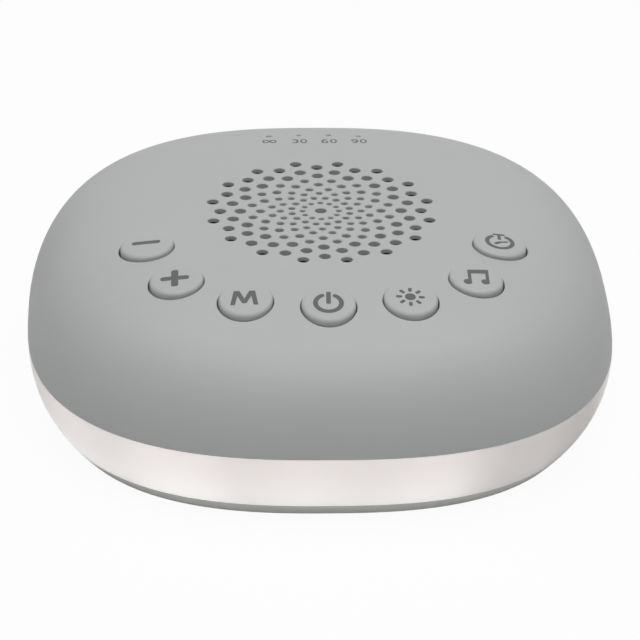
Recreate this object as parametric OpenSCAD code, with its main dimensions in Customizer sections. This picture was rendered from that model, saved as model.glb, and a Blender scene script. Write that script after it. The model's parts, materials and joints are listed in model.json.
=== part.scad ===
// White noise sound machine: a domed squircle housing with a speaker grille, seven push
// buttons, four timer lights and a glowing band. Millimetres, +Z up, the front faces -Y,
// and the origin is on the table under the middle of the housing.

/* [Housing outline] */
// Width and depth of the housing where the domed shell meets the light band
body_w = 118; // [116:1:142]
// Squareness of the outline, where 2 is a circle
outline_n = 2.58; // [2.45:0.01:2.8]
// How far the feet stand below the base cover
foot_proud = 1; // [0.6:0.1:2]
// Height of the base cover's outer wall
base_h = 3.4; // [3:0.1:4.5]
// Height of the light band
band_h = 12.6; // [12:0.1:18]
// Height of the domed shell above the light band
dome_h = 24.1; // [23:0.1:30]
// How far the underside is drawn in from the shell's lower edge
undercut = 7.1; // [6:0.1:8]
// How sharply the band and the base curve under
undercut_power = 2.05; // [1.8:0.05:2.4]
// Flatness of the dome's top
dome_flat = 6; // [5:0.1:7]
// Roundness of the dome's shoulder
dome_round = 1.74; // [1.5:0.01:2]

/* [Walls] */
// Wall of the domed shell
shell_wall = 2.2; // [1.8:0.1:2.6]
// Wall of the light band
band_wall = 2.2; // [1.8:0.1:2.6]
// Wall and floor of the base cover
base_wall = 2; // [1.6:0.1:2.4]
// Clearance between housing parts that nest
nest_gap = 0.2; // [0.1:0.05:0.3]

/* [Speaker grille] */
// Radius of the outermost ring of sound holes
grille_r = 22; // [20:0.1:22.5]
// Diameter of the large sound holes
sound_hole_d = 2.3; // [1.6:0.1:2.4]
// Holes in each full ring
ring_holes = 16; // [12:1:16]
// Wall left in the recessed area behind the holes
grille_wall = 1.2; // [0.8:0.1:1.6]

/* [Buttons] */
// Diameter of a button cap
cap_d = 10.3; // [9:0.1:11]
// Radial gap between a cap and its hole
cap_gap = 0.3; // [0.2:0.05:0.4]
// Height of a cap's face above the dome
cap_proud = 0.9; // [0.6:0.1:1.6]
// Radius of the rounding round a cap's face
cap_fillet = 1.2; // [0.8:0.1:2]
// Travel of a button
button_travel = 0.5; // [0.3:0.1:0.8]
// Distances from the grille's middle to a button, from the front button outwards
row_r = [39.3, 40.6, 41.3, 37.95]; // [37:0.05:42]
// Angles of the buttons to either side of the front one
row_angle = [0, 23.2, 45.1, 67.1]; // [0:0.1:68]

/* [Timer lights] */
// Distance between neighbouring timer lights
timer_pitch = 6.2; // [5:0.1:7]
// Distance of the middle timer lights behind the middle of the grille
timer_y = 37.25; // [36:0.05:39]
// How far the outer timer lights stand in front of the middle ones
timer_bow = 0.45; // [0:0.05:0.45]
// Diameter of a timer light's hole
timer_hole_d = 1; // [0.8:0.1:1.4]

/* [Speaker] */
// Radius of the speaker frame's rim
speaker_r = 25; // [24:0.1:25]
// Depth of the speaker from its rim to the back of the yoke
speaker_depth = 21.6; // [20:0.1:22]
// Largest travel of the cone each way
cone_travel = 1.2; // [0.5:0.1:1.4]
// Radius of the voice coil's former, inside
coil_r = 7.25; // [6.5:0.05:7.5]

/* [Power inlet] */
// Width of the port in the rear wall
port_w = 11.6; // [10.6:0.1:13]
// Height of the port in the rear wall
port_h = 6.4; // [5:0.1:7]
// Height of the port's middle above the shell's lower edge
port_rise = 5.4; // [5:0.1:7]

/* [Fasteners and feet] */
// Side to side place of the four case screws, from the middle
case_screw_x = 26.4; // [26:0.1:27]
// Front to back place of the four case screws, from the middle
case_screw_y = 39.5; // [39:0.1:40]
// Outer radius of the shell's screw bosses
boss_r = 3.2; // [2.8:0.1:3.3]
// Radius of a rubber foot
foot_r = 5; // [4:0.1:6]
// Depth of the pocket that holds a foot
foot_pocket = 0.9; // [0.6:0.1:1.2]
// Side to side place of the feet, from the middle
foot_x = 35.5; // [33:0.5:37]
// Front to back place of the feet, from the middle
foot_y = 28; // [24:0.5:29]

/* [Hidden] */
$fn = 48;
outline_seg = 120;          // sides of every squircle outline
dome_steps = 15;            // rings of facets over the dome
inner_steps = 9;

// Levels, from the table up
half_w = body_w / 2;
z_base = foot_proud;
z_band = z_base + base_h;
z_edge = z_band + band_h;
half_in = half_w - shell_wall;

// The flat area in the middle of the dome, outside and inside
recess_r = speaker_r - 0.2;
flat_t = (recess_r + 0.6) / half_w;
z_flat = z_edge + dome_h * dome_rise(flat_t);
cup_wall = 1.7;
speaker_gap = 0.3;
cup_r = speaker_r + speaker_gap;
flat_t_in = (cup_r + cup_wall + 0.6) / half_in;
z_ceiling = z_edge + (dome_h - shell_wall) * dome_rise(flat_t_in);
z_recess = z_flat - grille_wall;

// Buttons: every hole and collar is drawn straight up, so that the shell leaves its mould
cap_r = cap_d / 2;
hole_r = cap_r + cap_gap;
collar_wall = 1.5;
flange_r = cap_r + 1.1;
flange_t = 0.8;
rest_gap = 0.3;             // between a resting flange and its collar
row = [for (k = [-3:3]) k];
flange_level = max([for (k = row) button_level(k)]) + (flange_r + 0.2) / half_in;
z_collar = z_edge + (dome_h - shell_wall) * dome_rise(flange_level * half_w / half_in) - 0.1;
z_flange = z_collar - rest_gap;
stem_r = 1.5;
stem_drop = 0.5;
z_stem = z_flange - flange_t - stem_drop;
switch_w = 6;
switch_h = 3.5;
plunger_r = 1.7;
plunger_up = 0.8;
plunger_down = 0.9;
plunger_gap = 0.1;

// Button board, hung under the dome
board_t = 1.6;
z_board = z_stem - plunger_up - switch_h;
board_half = body_w / 2 - 13.5;
board_hole_r = cup_r + cup_wall + 1.4;
post_r = 2.2;
posts = [[0, flange_r + post_r + 0.7 - row_r[0]], [38, 2], [-38, 2], [29, 30], [-29, 30]];

// Speaker, screwed up under the dome
mesh_t = 0.3;
z_mesh = z_recess - mesh_t;
gasket_t = 1.9;
lip_t = 0.3;
z_rim = z_mesh - gasket_t - lip_t;
rim_t = 0.8;
ear_r = 3;
ear_place = speaker_r + 4.6;
z_yoke = z_rim - speaker_depth;
yoke_t = 2.4;
magnet_h = 6;
plate_t = 3;
z_magnet = z_yoke + yoke_t;
z_plate = z_magnet + magnet_h;
z_basket = z_plate + plate_t;
magnet_r = speaker_r - 9.1;
coil_gap = 0.35;
pole_r = coil_r - coil_gap;
former_t = 0.2;
shelf_h = 2.6;              // the spider's shelf above the frame's floor
winding_t = 0.3;
coil_out = coil_r + former_t + winding_t;
cone_t = 0.5;
cone_r = speaker_r - 5.8;
z_cone_top = z_rim;
z_neck = z_rim - 5.6;
glue_gap = 0.05;
wire_sides = 8;
wire_steps = 4;             // rings of a wire to each stretch of its route

// Light band and what stands behind it
tongue_h = 1.6;
tongue_t = 1.2;
shoulder_h = 1.5;
shoulder_half = half_in - nest_gap - tongue_t - 1.2;
reflector_t = 1.2;
reflector_half = half_w - 9.2;
strip_t = 0.3;
strip_h = 7;
led_count = 20;
led_size = [1.4, 3.5, 2.8];
z_leds = (z_base + base_wall + z_edge) / 2;

// Base, boards and inlet
z_floor = z_base + base_wall;
boss_gap = 0.1;
base_boss_r = 4.2;
z_boss = z_floor + 3.6;
head_r = 2.4;
head_h = 1.7;
head_seat = 3;
case_shank = 1.05;
case_screw_l = 12;
main_w = 76;
main_d = 64;
main_corner = 6;
standoff_h = 4;
z_main = z_floor + standoff_h;
main_holes = [[33, 26], [-33, 26], [33, -26], [-33, -26]];
plug_place = [26, 4];
plug_h = 5.2;
lug_x = magnet_r + 2.4;
lug_y = 2.2;
lug_h = 0.6;
lug_strip_t = 1.2;
ribbon_w = 12;
ribbon_t = 0.3;
ribbon_y = 29.5;
usb_w = 8.94;
usb_h = 3.26;
usb_l = 7.35;
usb_wall = 0.3;
z_port = z_edge + port_rise;
z_usb_board = z_port - usb_h / 2 - board_t;
usb_board_w = 18;
usb_board_d = 13;
usb_mouth_y = half_in * rise_level((z_port - port_h / 2 - z_edge) / (dome_h - shell_wall)) - 1.3;
usb_posts_y = usb_mouth_y - 11.025;
usb_posts_x = 6;

shell_grey = [0.70, 0.71, 0.70];
band_white = [0.95, 0.93, 0.92];
base_grey = [0.64, 0.65, 0.64];
board_green = [0.13, 0.42, 0.25];
steel = [0.72, 0.73, 0.75];
dark = [0.12, 0.12, 0.13];

// ---------------------------------------------------------------- shape functions

// Radius of the unit outline in a direction
function outline_r(a) =
    pow(pow(abs(cos(a)), outline_n) + pow(abs(sin(a)), outline_n), -1 / outline_n);

// Half width of the outline that passes through a point
function outline_at(x, y) =
    pow(pow(abs(x), outline_n) + pow(abs(y), outline_n), 1 / outline_n);

// Rise of the dome, 0 to 1, at a fraction t of its half width, and the other way round
function dome_rise(t) = pow(max(0, 1 - pow(t, dome_flat)), 1 / dome_round);
function rise_level(h) = pow(1 - pow(h, dome_round), 1 / dome_flat);

// Height of the dome's outer and inner face over a point
function dome_z(x, y) = z_edge + dome_h * dome_rise(outline_at(x, y) / half_w);
function ceiling_z(x, y) =
    z_edge + (dome_h - shell_wall) * dome_rise(outline_at(x, y) / half_in);

// Half width of the band and the base at a height
function low_half(z) =
    half_w - undercut * pow(max(0, z_edge - z) / (z_edge - z_base), undercut_power);

// Rings [half width, height] up a dome, evenly spread round its shoulder
function dome_rings(half, h, steps, last) =
    [for (i = [0:steps])
        let (a = acos(pow(last, dome_flat / 2)) * i / steps)
        [half * pow(cos(a), 2 / dome_flat), z_edge + h * pow(sin(a), 2 / dome_round)]];

// Rings up the outside of the band and the base between two heights
function low_rings(z0, z1, steps, inset = 0) =
    [for (i = [0:steps]) let (z = z0 + (z1 - z0) * i / steps) [low_half(z) - inset, z]];

// Place of a button in the row, and the outline's fraction there
function button_angle(k) = -90 + sign(k) * row_angle[abs(k)];
function button_xy(k) = let (a = button_angle(k), r = row_r[abs(k)]) [r * cos(a), r * sin(a)];
function button_level(k) = let (p = button_xy(k)) outline_at(p.x, p.y) / half_w;

// Slope of the dome under a cap, taken across most of its width
function slope(p, e) = [
    (dome_z(p.x + e, p.y) - dome_z(p.x - e, p.y)) / (2 * e),
    (dome_z(p.x, p.y + e) - dome_z(p.x, p.y - e)) / (2 * e)
];

// Radius of ring i of sound holes, and the diameter of its holes: small towards the middle
function ring_r(i) = grille_r * (1 - 0.183 * floor(i / 2) - 0.084 * (i % 2));
ring_scale = [1, 1, 1, 1, 0.725, 0.725, 0.61, 0.55, 0.55];
inner_ring_r = 0.166;
inner_ring_holes = 12;
inner_ring_scale = 0.47;

// Points of a smooth line through the points of a route, a few for each stretch of it
function smooth_route(p, steps) = [
    for (i = [0:len(p) - 2], k = [0:steps - 1])
        let (a = p[max(i - 1, 0)], b = p[i], c = p[i + 1], d = p[min(i + 2, len(p) - 1)], t = k / steps)
        b + t / 2 * (c - a + t * (2 * a - 5 * b + 4 * c - d + t * (3 * (b - c) + d - a))),
    p[len(p) - 1]
];
function unit(v) = v / norm(v);

function tail(list) = [for (i = [1:len(list) - 1]) list[i]];

// Place of a timer light
function timer_xy(i) = [(i - 1.5) * timer_pitch, timer_y - timer_bow * (abs(i - 1.5) - 0.5)];

// ---------------------------------------------------------------- shape modules

// Solid through squircle rings, bottom to top on its outer side, joined end to end if closed.
// A cavity takes a turn of half a side, so that its corners fall between those of its shell
module squircle_loft(rings, closed = false, turn = 0) {
    n = outline_seg;
    m = len(rings);
    points = [for (r = rings) for (i = [0:n - 1])
        let (a = 360 * (i + turn) / n, k = r[0] * outline_r(a)) [k * cos(a), k * sin(a), r[1]]];
    sides = [for (j = [0:closed ? m - 1 : m - 2]) for (i = [0:n - 1])
        let (up = ((j + 1) % m) * n, next = (i + 1) % n)
        [j * n + i, up + i, up + next, j * n + next]];
    bottom = [for (i = [0:n - 1]) i];
    top = [for (i = [n - 1:-1:0]) (m - 1) * n + i];
    polyhedron(points, closed ? sides : concat(sides, [bottom], [top]), convexity = 6);
}

// Flat squircle plate
module squircle_plate(half, h) {
    linear_extrude(height = h)
        polygon([for (i = [0:outline_seg - 1])
            let (a = 360 * i / outline_seg, k = half * outline_r(a)) [k * cos(a), k * sin(a)]]);
}

module tube(r_out, r_in, h) {
    difference() {
        cylinder(r = r_out, h = h);
        translate([0, 0, -1]) cylinder(r = r_in, h = h + 2);
    }
}

// Plate with rounded corners, centred
module rounded_plate(w, d, r, h) {
    translate([-w / 2, -d / 2 + r, 0]) cube([w, d - 2 * r, h]);
    translate([-w / 2 + r, -d / 2, 0]) cube([w - 2 * r, d, h]);
    for (sx = [-1, 1], sy = [-1, 1])
        translate([sx * (w / 2 - r), sy * (d / 2 - r), 0]) cylinder(r = r, h = h);
}

// Bar with round ends, its length along X and its depth along Y
module obround(w, h, depth) {
    translate([-(w - h) / 2, 0, -h / 2]) cube([w - h, depth, h]);
    for (s = [-1, 1])
        translate([s * (w - h) / 2, 0, 0]) rotate([-90, 0, 0]) cylinder(d = h, h = depth);
}

// Screw standing on its head's underside at z = 0, with its shank up and its head below
module screw(shank_r, length, head, head_height) {
    difference() {
        union() {
            cylinder(r = shank_r, h = length - shank_r);
            translate([0, 0, length - shank_r]) cylinder(r1 = shank_r, r2 = shank_r / 4, h = shank_r);
            translate([0, 0, -head_height])
                cylinder(r1 = head - 0.35, r2 = head, h = head_height * 0.4);
            translate([0, 0, -head_height * 0.6]) cylinder(r = head, h = head_height * 0.6);
        }
        for (a = [0, 90]) rotate(a)
            translate([-head * 0.6, -head * 0.13, -head_height - 1])
                cube([head * 1.2, head * 0.26, 1 + head_height * 0.5]);
    }
}

// Round wire swept along a route that never runs along the direction across
module wire(route, r, across) {
    path = smooth_route(route, wire_steps);
    last = len(path) - 1;
    n = wire_sides;
    ways = [
        route[1] - route[0],
        for (i = [1:last - 1]) path[i + 1] - path[i - 1],
        route[len(route) - 1] - route[len(route) - 2]
    ];
    points = [for (i = [0:last])
        let (d = unit(ways[i]), u = unit(cross(d, across)), v = cross(d, u))
        for (j = [0:n - 1]) path[i] + r * (cos(j * 360 / n) * u + sin(j * 360 / n) * v)];
    walls = [for (i = [0:last - 1], j = [0:n - 1]) let (a = i * n, k = (j + 1) % n)
        each [[a + j, a + n + j, a + k], [a + k, a + n + j, a + n + k]]];
    start = [for (j = [0:n - 1]) j];
    end = [for (j = [n - 1:-1:0]) last * n + j];
    polyhedron(points = points, faces = concat(walls, [start, end]));
}

module at_case_screws() {
    for (sx = [-1, 1], sy = [-1, 1])
        translate([sx * case_screw_x, sy * case_screw_y, 0]) children();
}

module at_ears() {
    for (a = [45:90:315]) rotate(a) translate([ear_place, 0, 0]) children();
}

module at_posts() {
    for (p = posts) translate([p.x, p.y, 0]) children();
}

module at_buttons() {
    for (k = row) translate(button_xy(k)) children();
}

module at_main_holes() {
    for (p = main_holes) translate([p.x, p.y, 0]) children();
}

module at_usb_posts() {
    for (s = [-1, 1]) translate([s * usb_posts_x, usb_posts_y, 0]) children();
}

// ---------------------------------------------------------------- housing

// Sound holes: full rings with every other one turned half a pitch, a small ring, a centre
module sound_holes() {
    h = shell_wall + 2;
    for (i = [0:len(ring_scale) - 1], j = [0:ring_holes - 1])
        rotate((j + (i % 2 == 0 ? 0.5 : 0)) * 360 / ring_holes)
            translate([ring_r(i), 0, 0]) cylinder(d = sound_hole_d * ring_scale[i], h = h, $fn = 24);
    for (j = [0:inner_ring_holes - 1])
        rotate(j * 360 / inner_ring_holes)
            translate([grille_r * inner_ring_r, 0, 0])
                cylinder(d = sound_hole_d * inner_ring_scale, h = h, $fn = 24);
    cylinder(d = sound_hole_d, h = h, $fn = 24);
}

// What stands inside the shell, left over from its cavity
module shell_bosses() {
    over = z_flat + 1;
    z_cup = z_rim - rim_t - 1;
    difference() {
        translate([0, 0, z_cup]) tube(cup_r + cup_wall, cup_r, over - z_cup);
        at_ears() translate([-6, -ear_r - speaker_gap, z_cup - 1])
            cube([12, 2 * (ear_r + speaker_gap), z_rim - z_cup + 1]);
    }
    at_ears() translate([0, 0, z_rim]) cylinder(r = ear_r - 0.4, h = over - z_rim);
    at_buttons() translate([0, 0, z_collar])
        cylinder(r = hole_r + collar_wall, h = over - z_collar);
    at_posts() translate([0, 0, z_board]) cylinder(r = post_r, h = over - z_board);
    at_case_screws() translate([0, 0, z_boss - 2]) cylinder(r = boss_r, h = over - z_boss + 2);
}

module top_shell() {
    core_half = half_in - 3;
    z_low = z_boss + boss_gap;
    pilot = 0.05;
    color(shell_grey) difference() {
        squircle_loft(concat(
            [[core_half, z_low], [core_half, z_edge]],
            dome_rings(half_w, dome_h, dome_steps, flat_t)));
        difference() {
            squircle_loft(concat(
                [[half_in, z_low - 1], [half_in, z_edge + 0.5]],
                tail(dome_rings(half_in, dome_h - shell_wall, inner_steps, flat_t_in))), turn = 0.5);
            shell_bosses();
        }
        translate([0, 0, z_ceiling - 1]) cylinder(r = recess_r, h = z_recess - z_ceiling + 1);
        translate([0, 0, z_ceiling - 0.5]) sound_holes();
        at_buttons() translate([0, 0, z_collar - 1]) cylinder(r = hole_r, h = z_flat);
        for (i = [0:3]) translate([timer_xy(i).x, timer_xy(i).y, z_ceiling - 4])
            cylinder(d = timer_hole_d, h = 8, $fn = 24);
        translate([0, half_in - 8, z_port]) obround(port_w, port_h, 20);
        at_ears() translate([0, 0, z_rim - 1])
            cylinder(r = 0.95 + pilot, h = z_flat - z_rim, $fn = 24);
        at_posts() translate([0, 0, z_board - 1]) cylinder(r = 0.95 + pilot, h = 5, $fn = 24);
        at_case_screws() translate([0, 0, z_low - 1])
            cylinder(r = case_shank + pilot, h = case_screw_l + 2, $fn = 24);
    }
}

module diffuser_band() {
    tongue_half = half_in - nest_gap;
    inner_top = z_edge - shoulder_h;
    color(band_white) squircle_loft(concat(
        low_rings(z_band, z_edge, 5),
        [[tongue_half, z_edge], [tongue_half, z_edge + tongue_h],
         [tongue_half - tongue_t, z_edge + tongue_h], [tongue_half - tongue_t, z_edge],
         [shoulder_half, z_edge], [shoulder_half, inner_top]],
        [for (i = [0:2]) let (z = inner_top - 1.5 - (inner_top - 1.5 - z_band) * i / 2)
            [low_half(z) - band_wall, z]]), closed = true);
}

module base_cover() {
    edge = 0.6;
    lip_t = 1.1;
    lip_h = 1.5;
    rim_in = low_half(z_band) - band_wall - nest_gap;
    color(base_grey) difference() {
        union() {
            squircle_loft(concat(
                [[low_half(z_base) - edge, z_base]],
                low_rings(z_base + edge * 0.6, z_band, 3),
                [[rim_in, z_band], [rim_in, z_band + lip_h],
                 [rim_in - lip_t, z_band + lip_h], [rim_in - lip_t, z_floor]]));
            at_case_screws() translate([0, 0, z_floor - 1])
                cylinder(r = base_boss_r, h = z_boss - z_floor + 1);
            at_main_holes() translate([0, 0, z_floor - 1])
                cylinder(r = 2.6, h = standoff_h + 1);
            at_usb_posts() translate([0, 0, z_floor - 1])
                cylinder(r = 2.3, h = z_usb_board - z_floor + 1);
        }
        at_case_screws() {
            translate([0, 0, z_base - 1]) cylinder(r = head_r + 0.4, h = head_seat + 1);
            translate([0, 0, z_base]) cylinder(r = case_shank + 0.4, h = z_boss);
        }
        at_main_holes() translate([0, 0, z_main - 3]) cylinder(r = 1, h = 4, $fn = 24);
        at_usb_posts() translate([0, 0, z_usb_board - 5]) cylinder(r = 1, h = 6, $fn = 24);
        for (sx = [-1, 1], sy = [-1, 1]) translate([sx * foot_x, sy * foot_y, z_base - 1])
            cylinder(r = foot_r + 0.1, h = foot_pocket + 1);
    }
}

module rubber_foot(sx, sy) {
    height = foot_proud + foot_pocket;
    color(dark) translate([sx * foot_x, sy * foot_y, 0]) {
        cylinder(r1 = foot_r - 0.4, r2 = foot_r, h = 0.4);
        translate([0, 0, 0.4]) cylinder(r = foot_r, h = height - 0.4);
    }
}

module rubber_foot_front_left() { rubber_foot(-1, -1); }
module rubber_foot_front_right() { rubber_foot(1, -1); }
module rubber_foot_rear_left() { rubber_foot(-1, 1); }
module rubber_foot_rear_right() { rubber_foot(1, 1); }

module case_screws() {
    color(steel) at_case_screws() translate([0, 0, z_base + head_seat])
        screw(case_shank, case_screw_l, head_r, head_h);
}

// ---------------------------------------------------------------- light band

// White wall that throws the light outwards, with a flange that rests on the band's shoulder
module light_reflector() {
    flange_out = half_in - nest_gap - tongue_t - nest_gap;
    flange_h = 1.2;
    color([0.96, 0.96, 0.96]) difference() {
        union() {
            translate([0, 0, z_floor]) squircle_plate(reflector_half, z_edge + flange_h - z_floor);
            translate([0, 0, z_edge]) squircle_plate(flange_out, flange_h);
        }
        translate([0, 0, z_floor - 1])
            squircle_plate(reflector_half - reflector_t, z_edge + flange_h - z_floor + 2);
    }
}

module led_strip() {
    inner = reflector_half + nest_gap / 2;
    color([0.9, 0.88, 0.8]) translate([0, 0, z_leds - strip_h / 2]) difference() {
        squircle_plate(inner + strip_t, strip_h);
        translate([0, 0, -1]) squircle_plate(inner, strip_h + 2);
    }
}

module strip_leds() {
    half = reflector_half + nest_gap / 2 + strip_t;
    color([1, 0.95, 0.75]) for (i = [0:led_count - 1]) {
        a = 360 * (i + 0.5) / led_count;
        p = half * outline_r(a) * [cos(a), sin(a)];
        facing = atan2(sign(p.y) * pow(abs(p.y), outline_n - 1), sign(p.x) * pow(abs(p.x), outline_n - 1));
        translate([p.x, p.y, z_leds]) rotate(facing)
            translate([nest_gap / 2, -led_size.y / 2, -led_size.z / 2]) cube(led_size);
    }
}

// ---------------------------------------------------------------- buttons

// Face of a cap: flat with a rounded edge, and flared below so that only the face is cut by it
module cap_face() {
    edge_r = cap_r + 0.25;
    rotate_extrude() polygon(concat(
        [[0, 0]],
        [for (i = [0:6]) let (a = 90 - i * 12)
            [edge_r - cap_fillet + cap_fillet * cos(a), -cap_fillet + cap_fillet * sin(a)]],
        [[cap_r + 5, -12], [0, -12]]));
}

// Cap with a retaining flange, hollow round a stem that presses the switch
module button_cap(k) {
    p = button_xy(k);
    g = slope(p, cap_r * 0.77);
    z_face = dome_z(p.x, p.y) + cap_proud;
    z_skirt = z_flange - flange_t;
    z_roof = z_face - 2.4;
    translate([p.x, p.y, 0]) color(shell_grey) {
        difference() {
            union() {
                intersection() {
                    translate([0, 0, z_skirt]) cylinder(r = cap_r, h = z_face + 3 - z_skirt);
                    translate([0, 0, z_face])
                        rotate(a = atan(norm(g)), v = [g.y, -g.x, 0]) cap_face();
                }
                translate([0, 0, z_skirt]) cylinder(r = flange_r, h = flange_t);
            }
            translate([0, 0, z_skirt - 1]) cylinder(r = cap_r - 1.2, h = z_roof - z_skirt + 1);
        }
        translate([0, 0, z_stem]) cylinder(r = stem_r, h = z_roof - z_stem + 0.5);
    }
}

module switch_plunger(k) {
    p = button_xy(k);
    color(dark) translate([p.x, p.y, z_stem - plunger_up - plunger_down])
        cylinder(r = plunger_r, h = plunger_up + plunger_down);
}

module button_minus() { button_cap(-3); }
module button_plus() { button_cap(-2); }
module button_mode() { button_cap(-1); }
module button_power() { button_cap(0); }
module button_light() { button_cap(1); }
module button_sound() { button_cap(2); }
module button_timer() { button_cap(3); }

module plunger_minus() { switch_plunger(-3); }
module plunger_plus() { switch_plunger(-2); }
module plunger_mode() { switch_plunger(-1); }
module plunger_power() { switch_plunger(0); }
module plunger_light() { switch_plunger(1); }
module plunger_sound() { switch_plunger(2); }
module plunger_timer() { switch_plunger(3); }

module switch_cases() {
    bore = plunger_down + button_travel + 0.5;
    color([0.3, 0.3, 0.32]) for (k = row) translate(button_xy(k))
        rotate(button_angle(k)) translate([0, 0, z_board]) difference() {
            union() {
                translate([-switch_w / 2, -switch_w / 2, 0]) cube([switch_w, switch_w, switch_h]);
                for (s = [-1, 1]) translate([s * 2.25 - 0.35, -switch_w / 2 - 1, 0])
                    cube([0.7, switch_w + 2, 0.3]);
            }
            translate([0, 0, switch_h - bore])
                cylinder(r = plunger_r + plunger_gap, h = bore + 1);
        }
}

module button_board() {
    color(board_green) translate([0, 0, z_board - board_t]) difference() {
        squircle_plate(board_half, board_t);
        translate([0, 0, -1]) {
            cylinder(r = board_hole_r, h = board_t + 2);
            at_case_screws() cylinder(r = boss_r + 0.4, h = board_t + 2);
            at_posts() cylinder(r = 1.2, h = board_t + 2);
        }
    }
}

module button_board_screws() {
    color(steel) at_posts() translate([0, 0, z_board - board_t]) screw(0.95, 5, 1.9, 1.2);
}

module timer_leds() {
    color([0.95, 0.9, 0.7]) for (i = [0:3])
        translate([timer_xy(i).x - 0.8, timer_xy(i).y - 0.4, z_board]) cube([1.6, 0.8, 0.6]);
}

// Clear moulding: a bar with four pipes that end flush in the shell's pinholes
module timer_light_guide() {
    bar_w = 3 * timer_pitch + 4;
    bar_h = 1.2;
    z_bar = ceiling_z(0, timer_y + 2) - 0.2 - bar_h;
    color([0.85, 0.9, 0.95, 0.6]) {
        translate([-bar_w / 2, timer_y - 1.5, z_bar]) cube([bar_w, 3, bar_h]);
        for (i = [0:3], p = [timer_xy(i)]) translate([p.x, p.y, 0]) {
            translate([0, 0, z_board + 0.9]) cylinder(r = 1, h = z_bar - z_board - 0.3);
            translate([0, 0, z_bar]) cylinder(
                d = timer_hole_d - 0.2, h = dome_z(p.x, p.y) - z_bar - 0.1);
        }
    }
}

// ---------------------------------------------------------------- speaker

module grille_mesh() {
    color(dark) translate([0, 0, z_mesh]) cylinder(r = recess_r - 0.2, h = mesh_t);
}

module speaker_gasket() {
    color([0.2, 0.2, 0.2]) translate([0, 0, z_rim + lip_t])
        tube(speaker_r - 0.5, speaker_r - 2.2, gasket_t);
}

// Pressed steel basket with four ears, six windows and a shelf for the spider
module speaker_frame() {
    depth = z_rim - z_basket;
    foot_out = speaker_r - 7.5;
    mouth_in = speaker_r - 3.6;
    shelf_in = speaker_r - 8.4;
    color(steel) difference() {
        union() {
            rotate_extrude() polygon([
                [coil_out + 1.6, z_basket], [foot_out, z_basket],
                [mouth_in + 0.5, z_rim - rim_t], [speaker_r, z_rim - rim_t],
                [speaker_r, z_rim], [mouth_in, z_rim], [foot_out + 0.7, z_basket + shelf_h],
                [shelf_in, z_basket + shelf_h], [shelf_in, z_basket + rim_t],
                [coil_out + 1.6, z_basket + rim_t]
            ]);
            difference() {
                at_ears() {
                    translate([0, 0, z_rim - rim_t]) cylinder(r = ear_r, h = rim_t);
                    translate([-6, -ear_r, z_rim - rim_t]) cube([6, 2 * ear_r, rim_t]);
                }
                translate([0, 0, z_rim - 3]) cylinder(r = speaker_r - 0.5, h = 6);
            }
        }
        at_ears() translate([0, 0, z_rim - 3]) cylinder(r = 1.3, h = 6, $fn = 24);
        for (a = [0:60:300]) rotate(a) translate([foot_out - 0.5, -4, z_basket + shelf_h + 0.8])
            cube([10, 8, depth - 5.4]);
    }
}

module speaker_screws() {
    color(steel) at_ears() translate([0, 0, z_rim - rim_t]) screw(0.95, 3.2, 2, 1.2);
}

// Half roll of rubber between the cone's edge and the frame's rim
module speaker_surround() {
    roll = 1.4;
    mid = speaker_r - 3.9;
    rim = speaker_r - 0.6;
    t = lip_t;
    steps = 8;
    color([0.1, 0.1, 0.1]) translate([0, 0, z_rim + glue_gap]) rotate_extrude() polygon(concat(
        [[cone_r - 1, 0], [mid - roll, 0]],
        [for (i = [1:steps - 1]) let (a = 180 - 180 * i / steps)
            [mid + (roll - t) * cos(a), t + (roll - t) * sin(a)]],
        [[mid + roll, 0], [rim, 0], [rim, t - glue_gap], [mid + roll, t - glue_gap]],
        [for (i = [1:steps - 1]) let (a = 180 * i / steps)
            [mid + roll * cos(a), t + roll * sin(a)]],
        [[mid - roll, t - glue_gap], [cone_r - 1, t - glue_gap]]));
}

module speaker_cone() {
    neck_r = coil_r + former_t + glue_gap;
    color([0.16, 0.16, 0.17]) rotate_extrude() polygon([
        [neck_r, z_neck], [cone_r, z_cone_top - cone_t], [cone_r, z_cone_top],
        [neck_r, z_neck + cone_t]
    ]);
}

module speaker_dust_cap() {
    base_r = coil_r + 1.15;
    ball_r = 11;
    t = 0.4;
    z_seat = z_neck + cone_t + glue_gap
        + (base_r - coil_r) * (z_cone_top - cone_t - z_neck) / (cone_r - coil_r);
    z_ball = z_seat - sqrt(ball_r * ball_r - base_r * base_r);
    color([0.1, 0.1, 0.11]) intersection() {
        translate([0, 0, z_ball]) difference() {
            sphere(r = ball_r);
            sphere(r = ball_r - t);
        }
        translate([0, 0, z_seat]) cylinder(r = ball_r, h = ball_r);
    }
}

module speaker_voice_coil() {
    former_h = 11;
    winding_h = 5.4;
    z_former = z_neck + cone_t + 0.6 - former_h;
    color([0.72, 0.45, 0.2]) {
        translate([0, 0, z_former]) tube(coil_r + former_t, coil_r, former_h);
        translate([0, 0, z_former + 0.8]) tube(coil_out, coil_r + former_t / 2, winding_h);
    }
}

// Corrugated disc that centres the coil
module speaker_spider() {
    t = 0.3;
    folds = 8;
    r0 = coil_r + former_t + glue_gap;
    r1 = speaker_r - 7.2;
    step = (r1 - 1 - r0 - 0.6) / folds;
    rise = 0.35;
    wave = concat([[r0, 0]],
        [for (i = [0:folds]) [r0 + 0.6 + i * step, i % 2 == 0 ? 0 : rise]], [[r1, 0]]);
    color([0.75, 0.6, 0.3]) translate([0, 0, z_basket + shelf_h + glue_gap]) rotate_extrude()
        polygon(concat(wave, [for (i = [len(wave) - 1:-1:0]) wave[i] + [0, t]]));
}

module speaker_top_plate() {
    color(steel) translate([0, 0, z_plate]) tube(magnet_r - 0.4, coil_out + coil_gap, plate_t);
}

module speaker_magnet() {
    color([0.2, 0.2, 0.22]) translate([0, 0, z_magnet]) tube(magnet_r, coil_out + 1.6, magnet_h);
}

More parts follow.
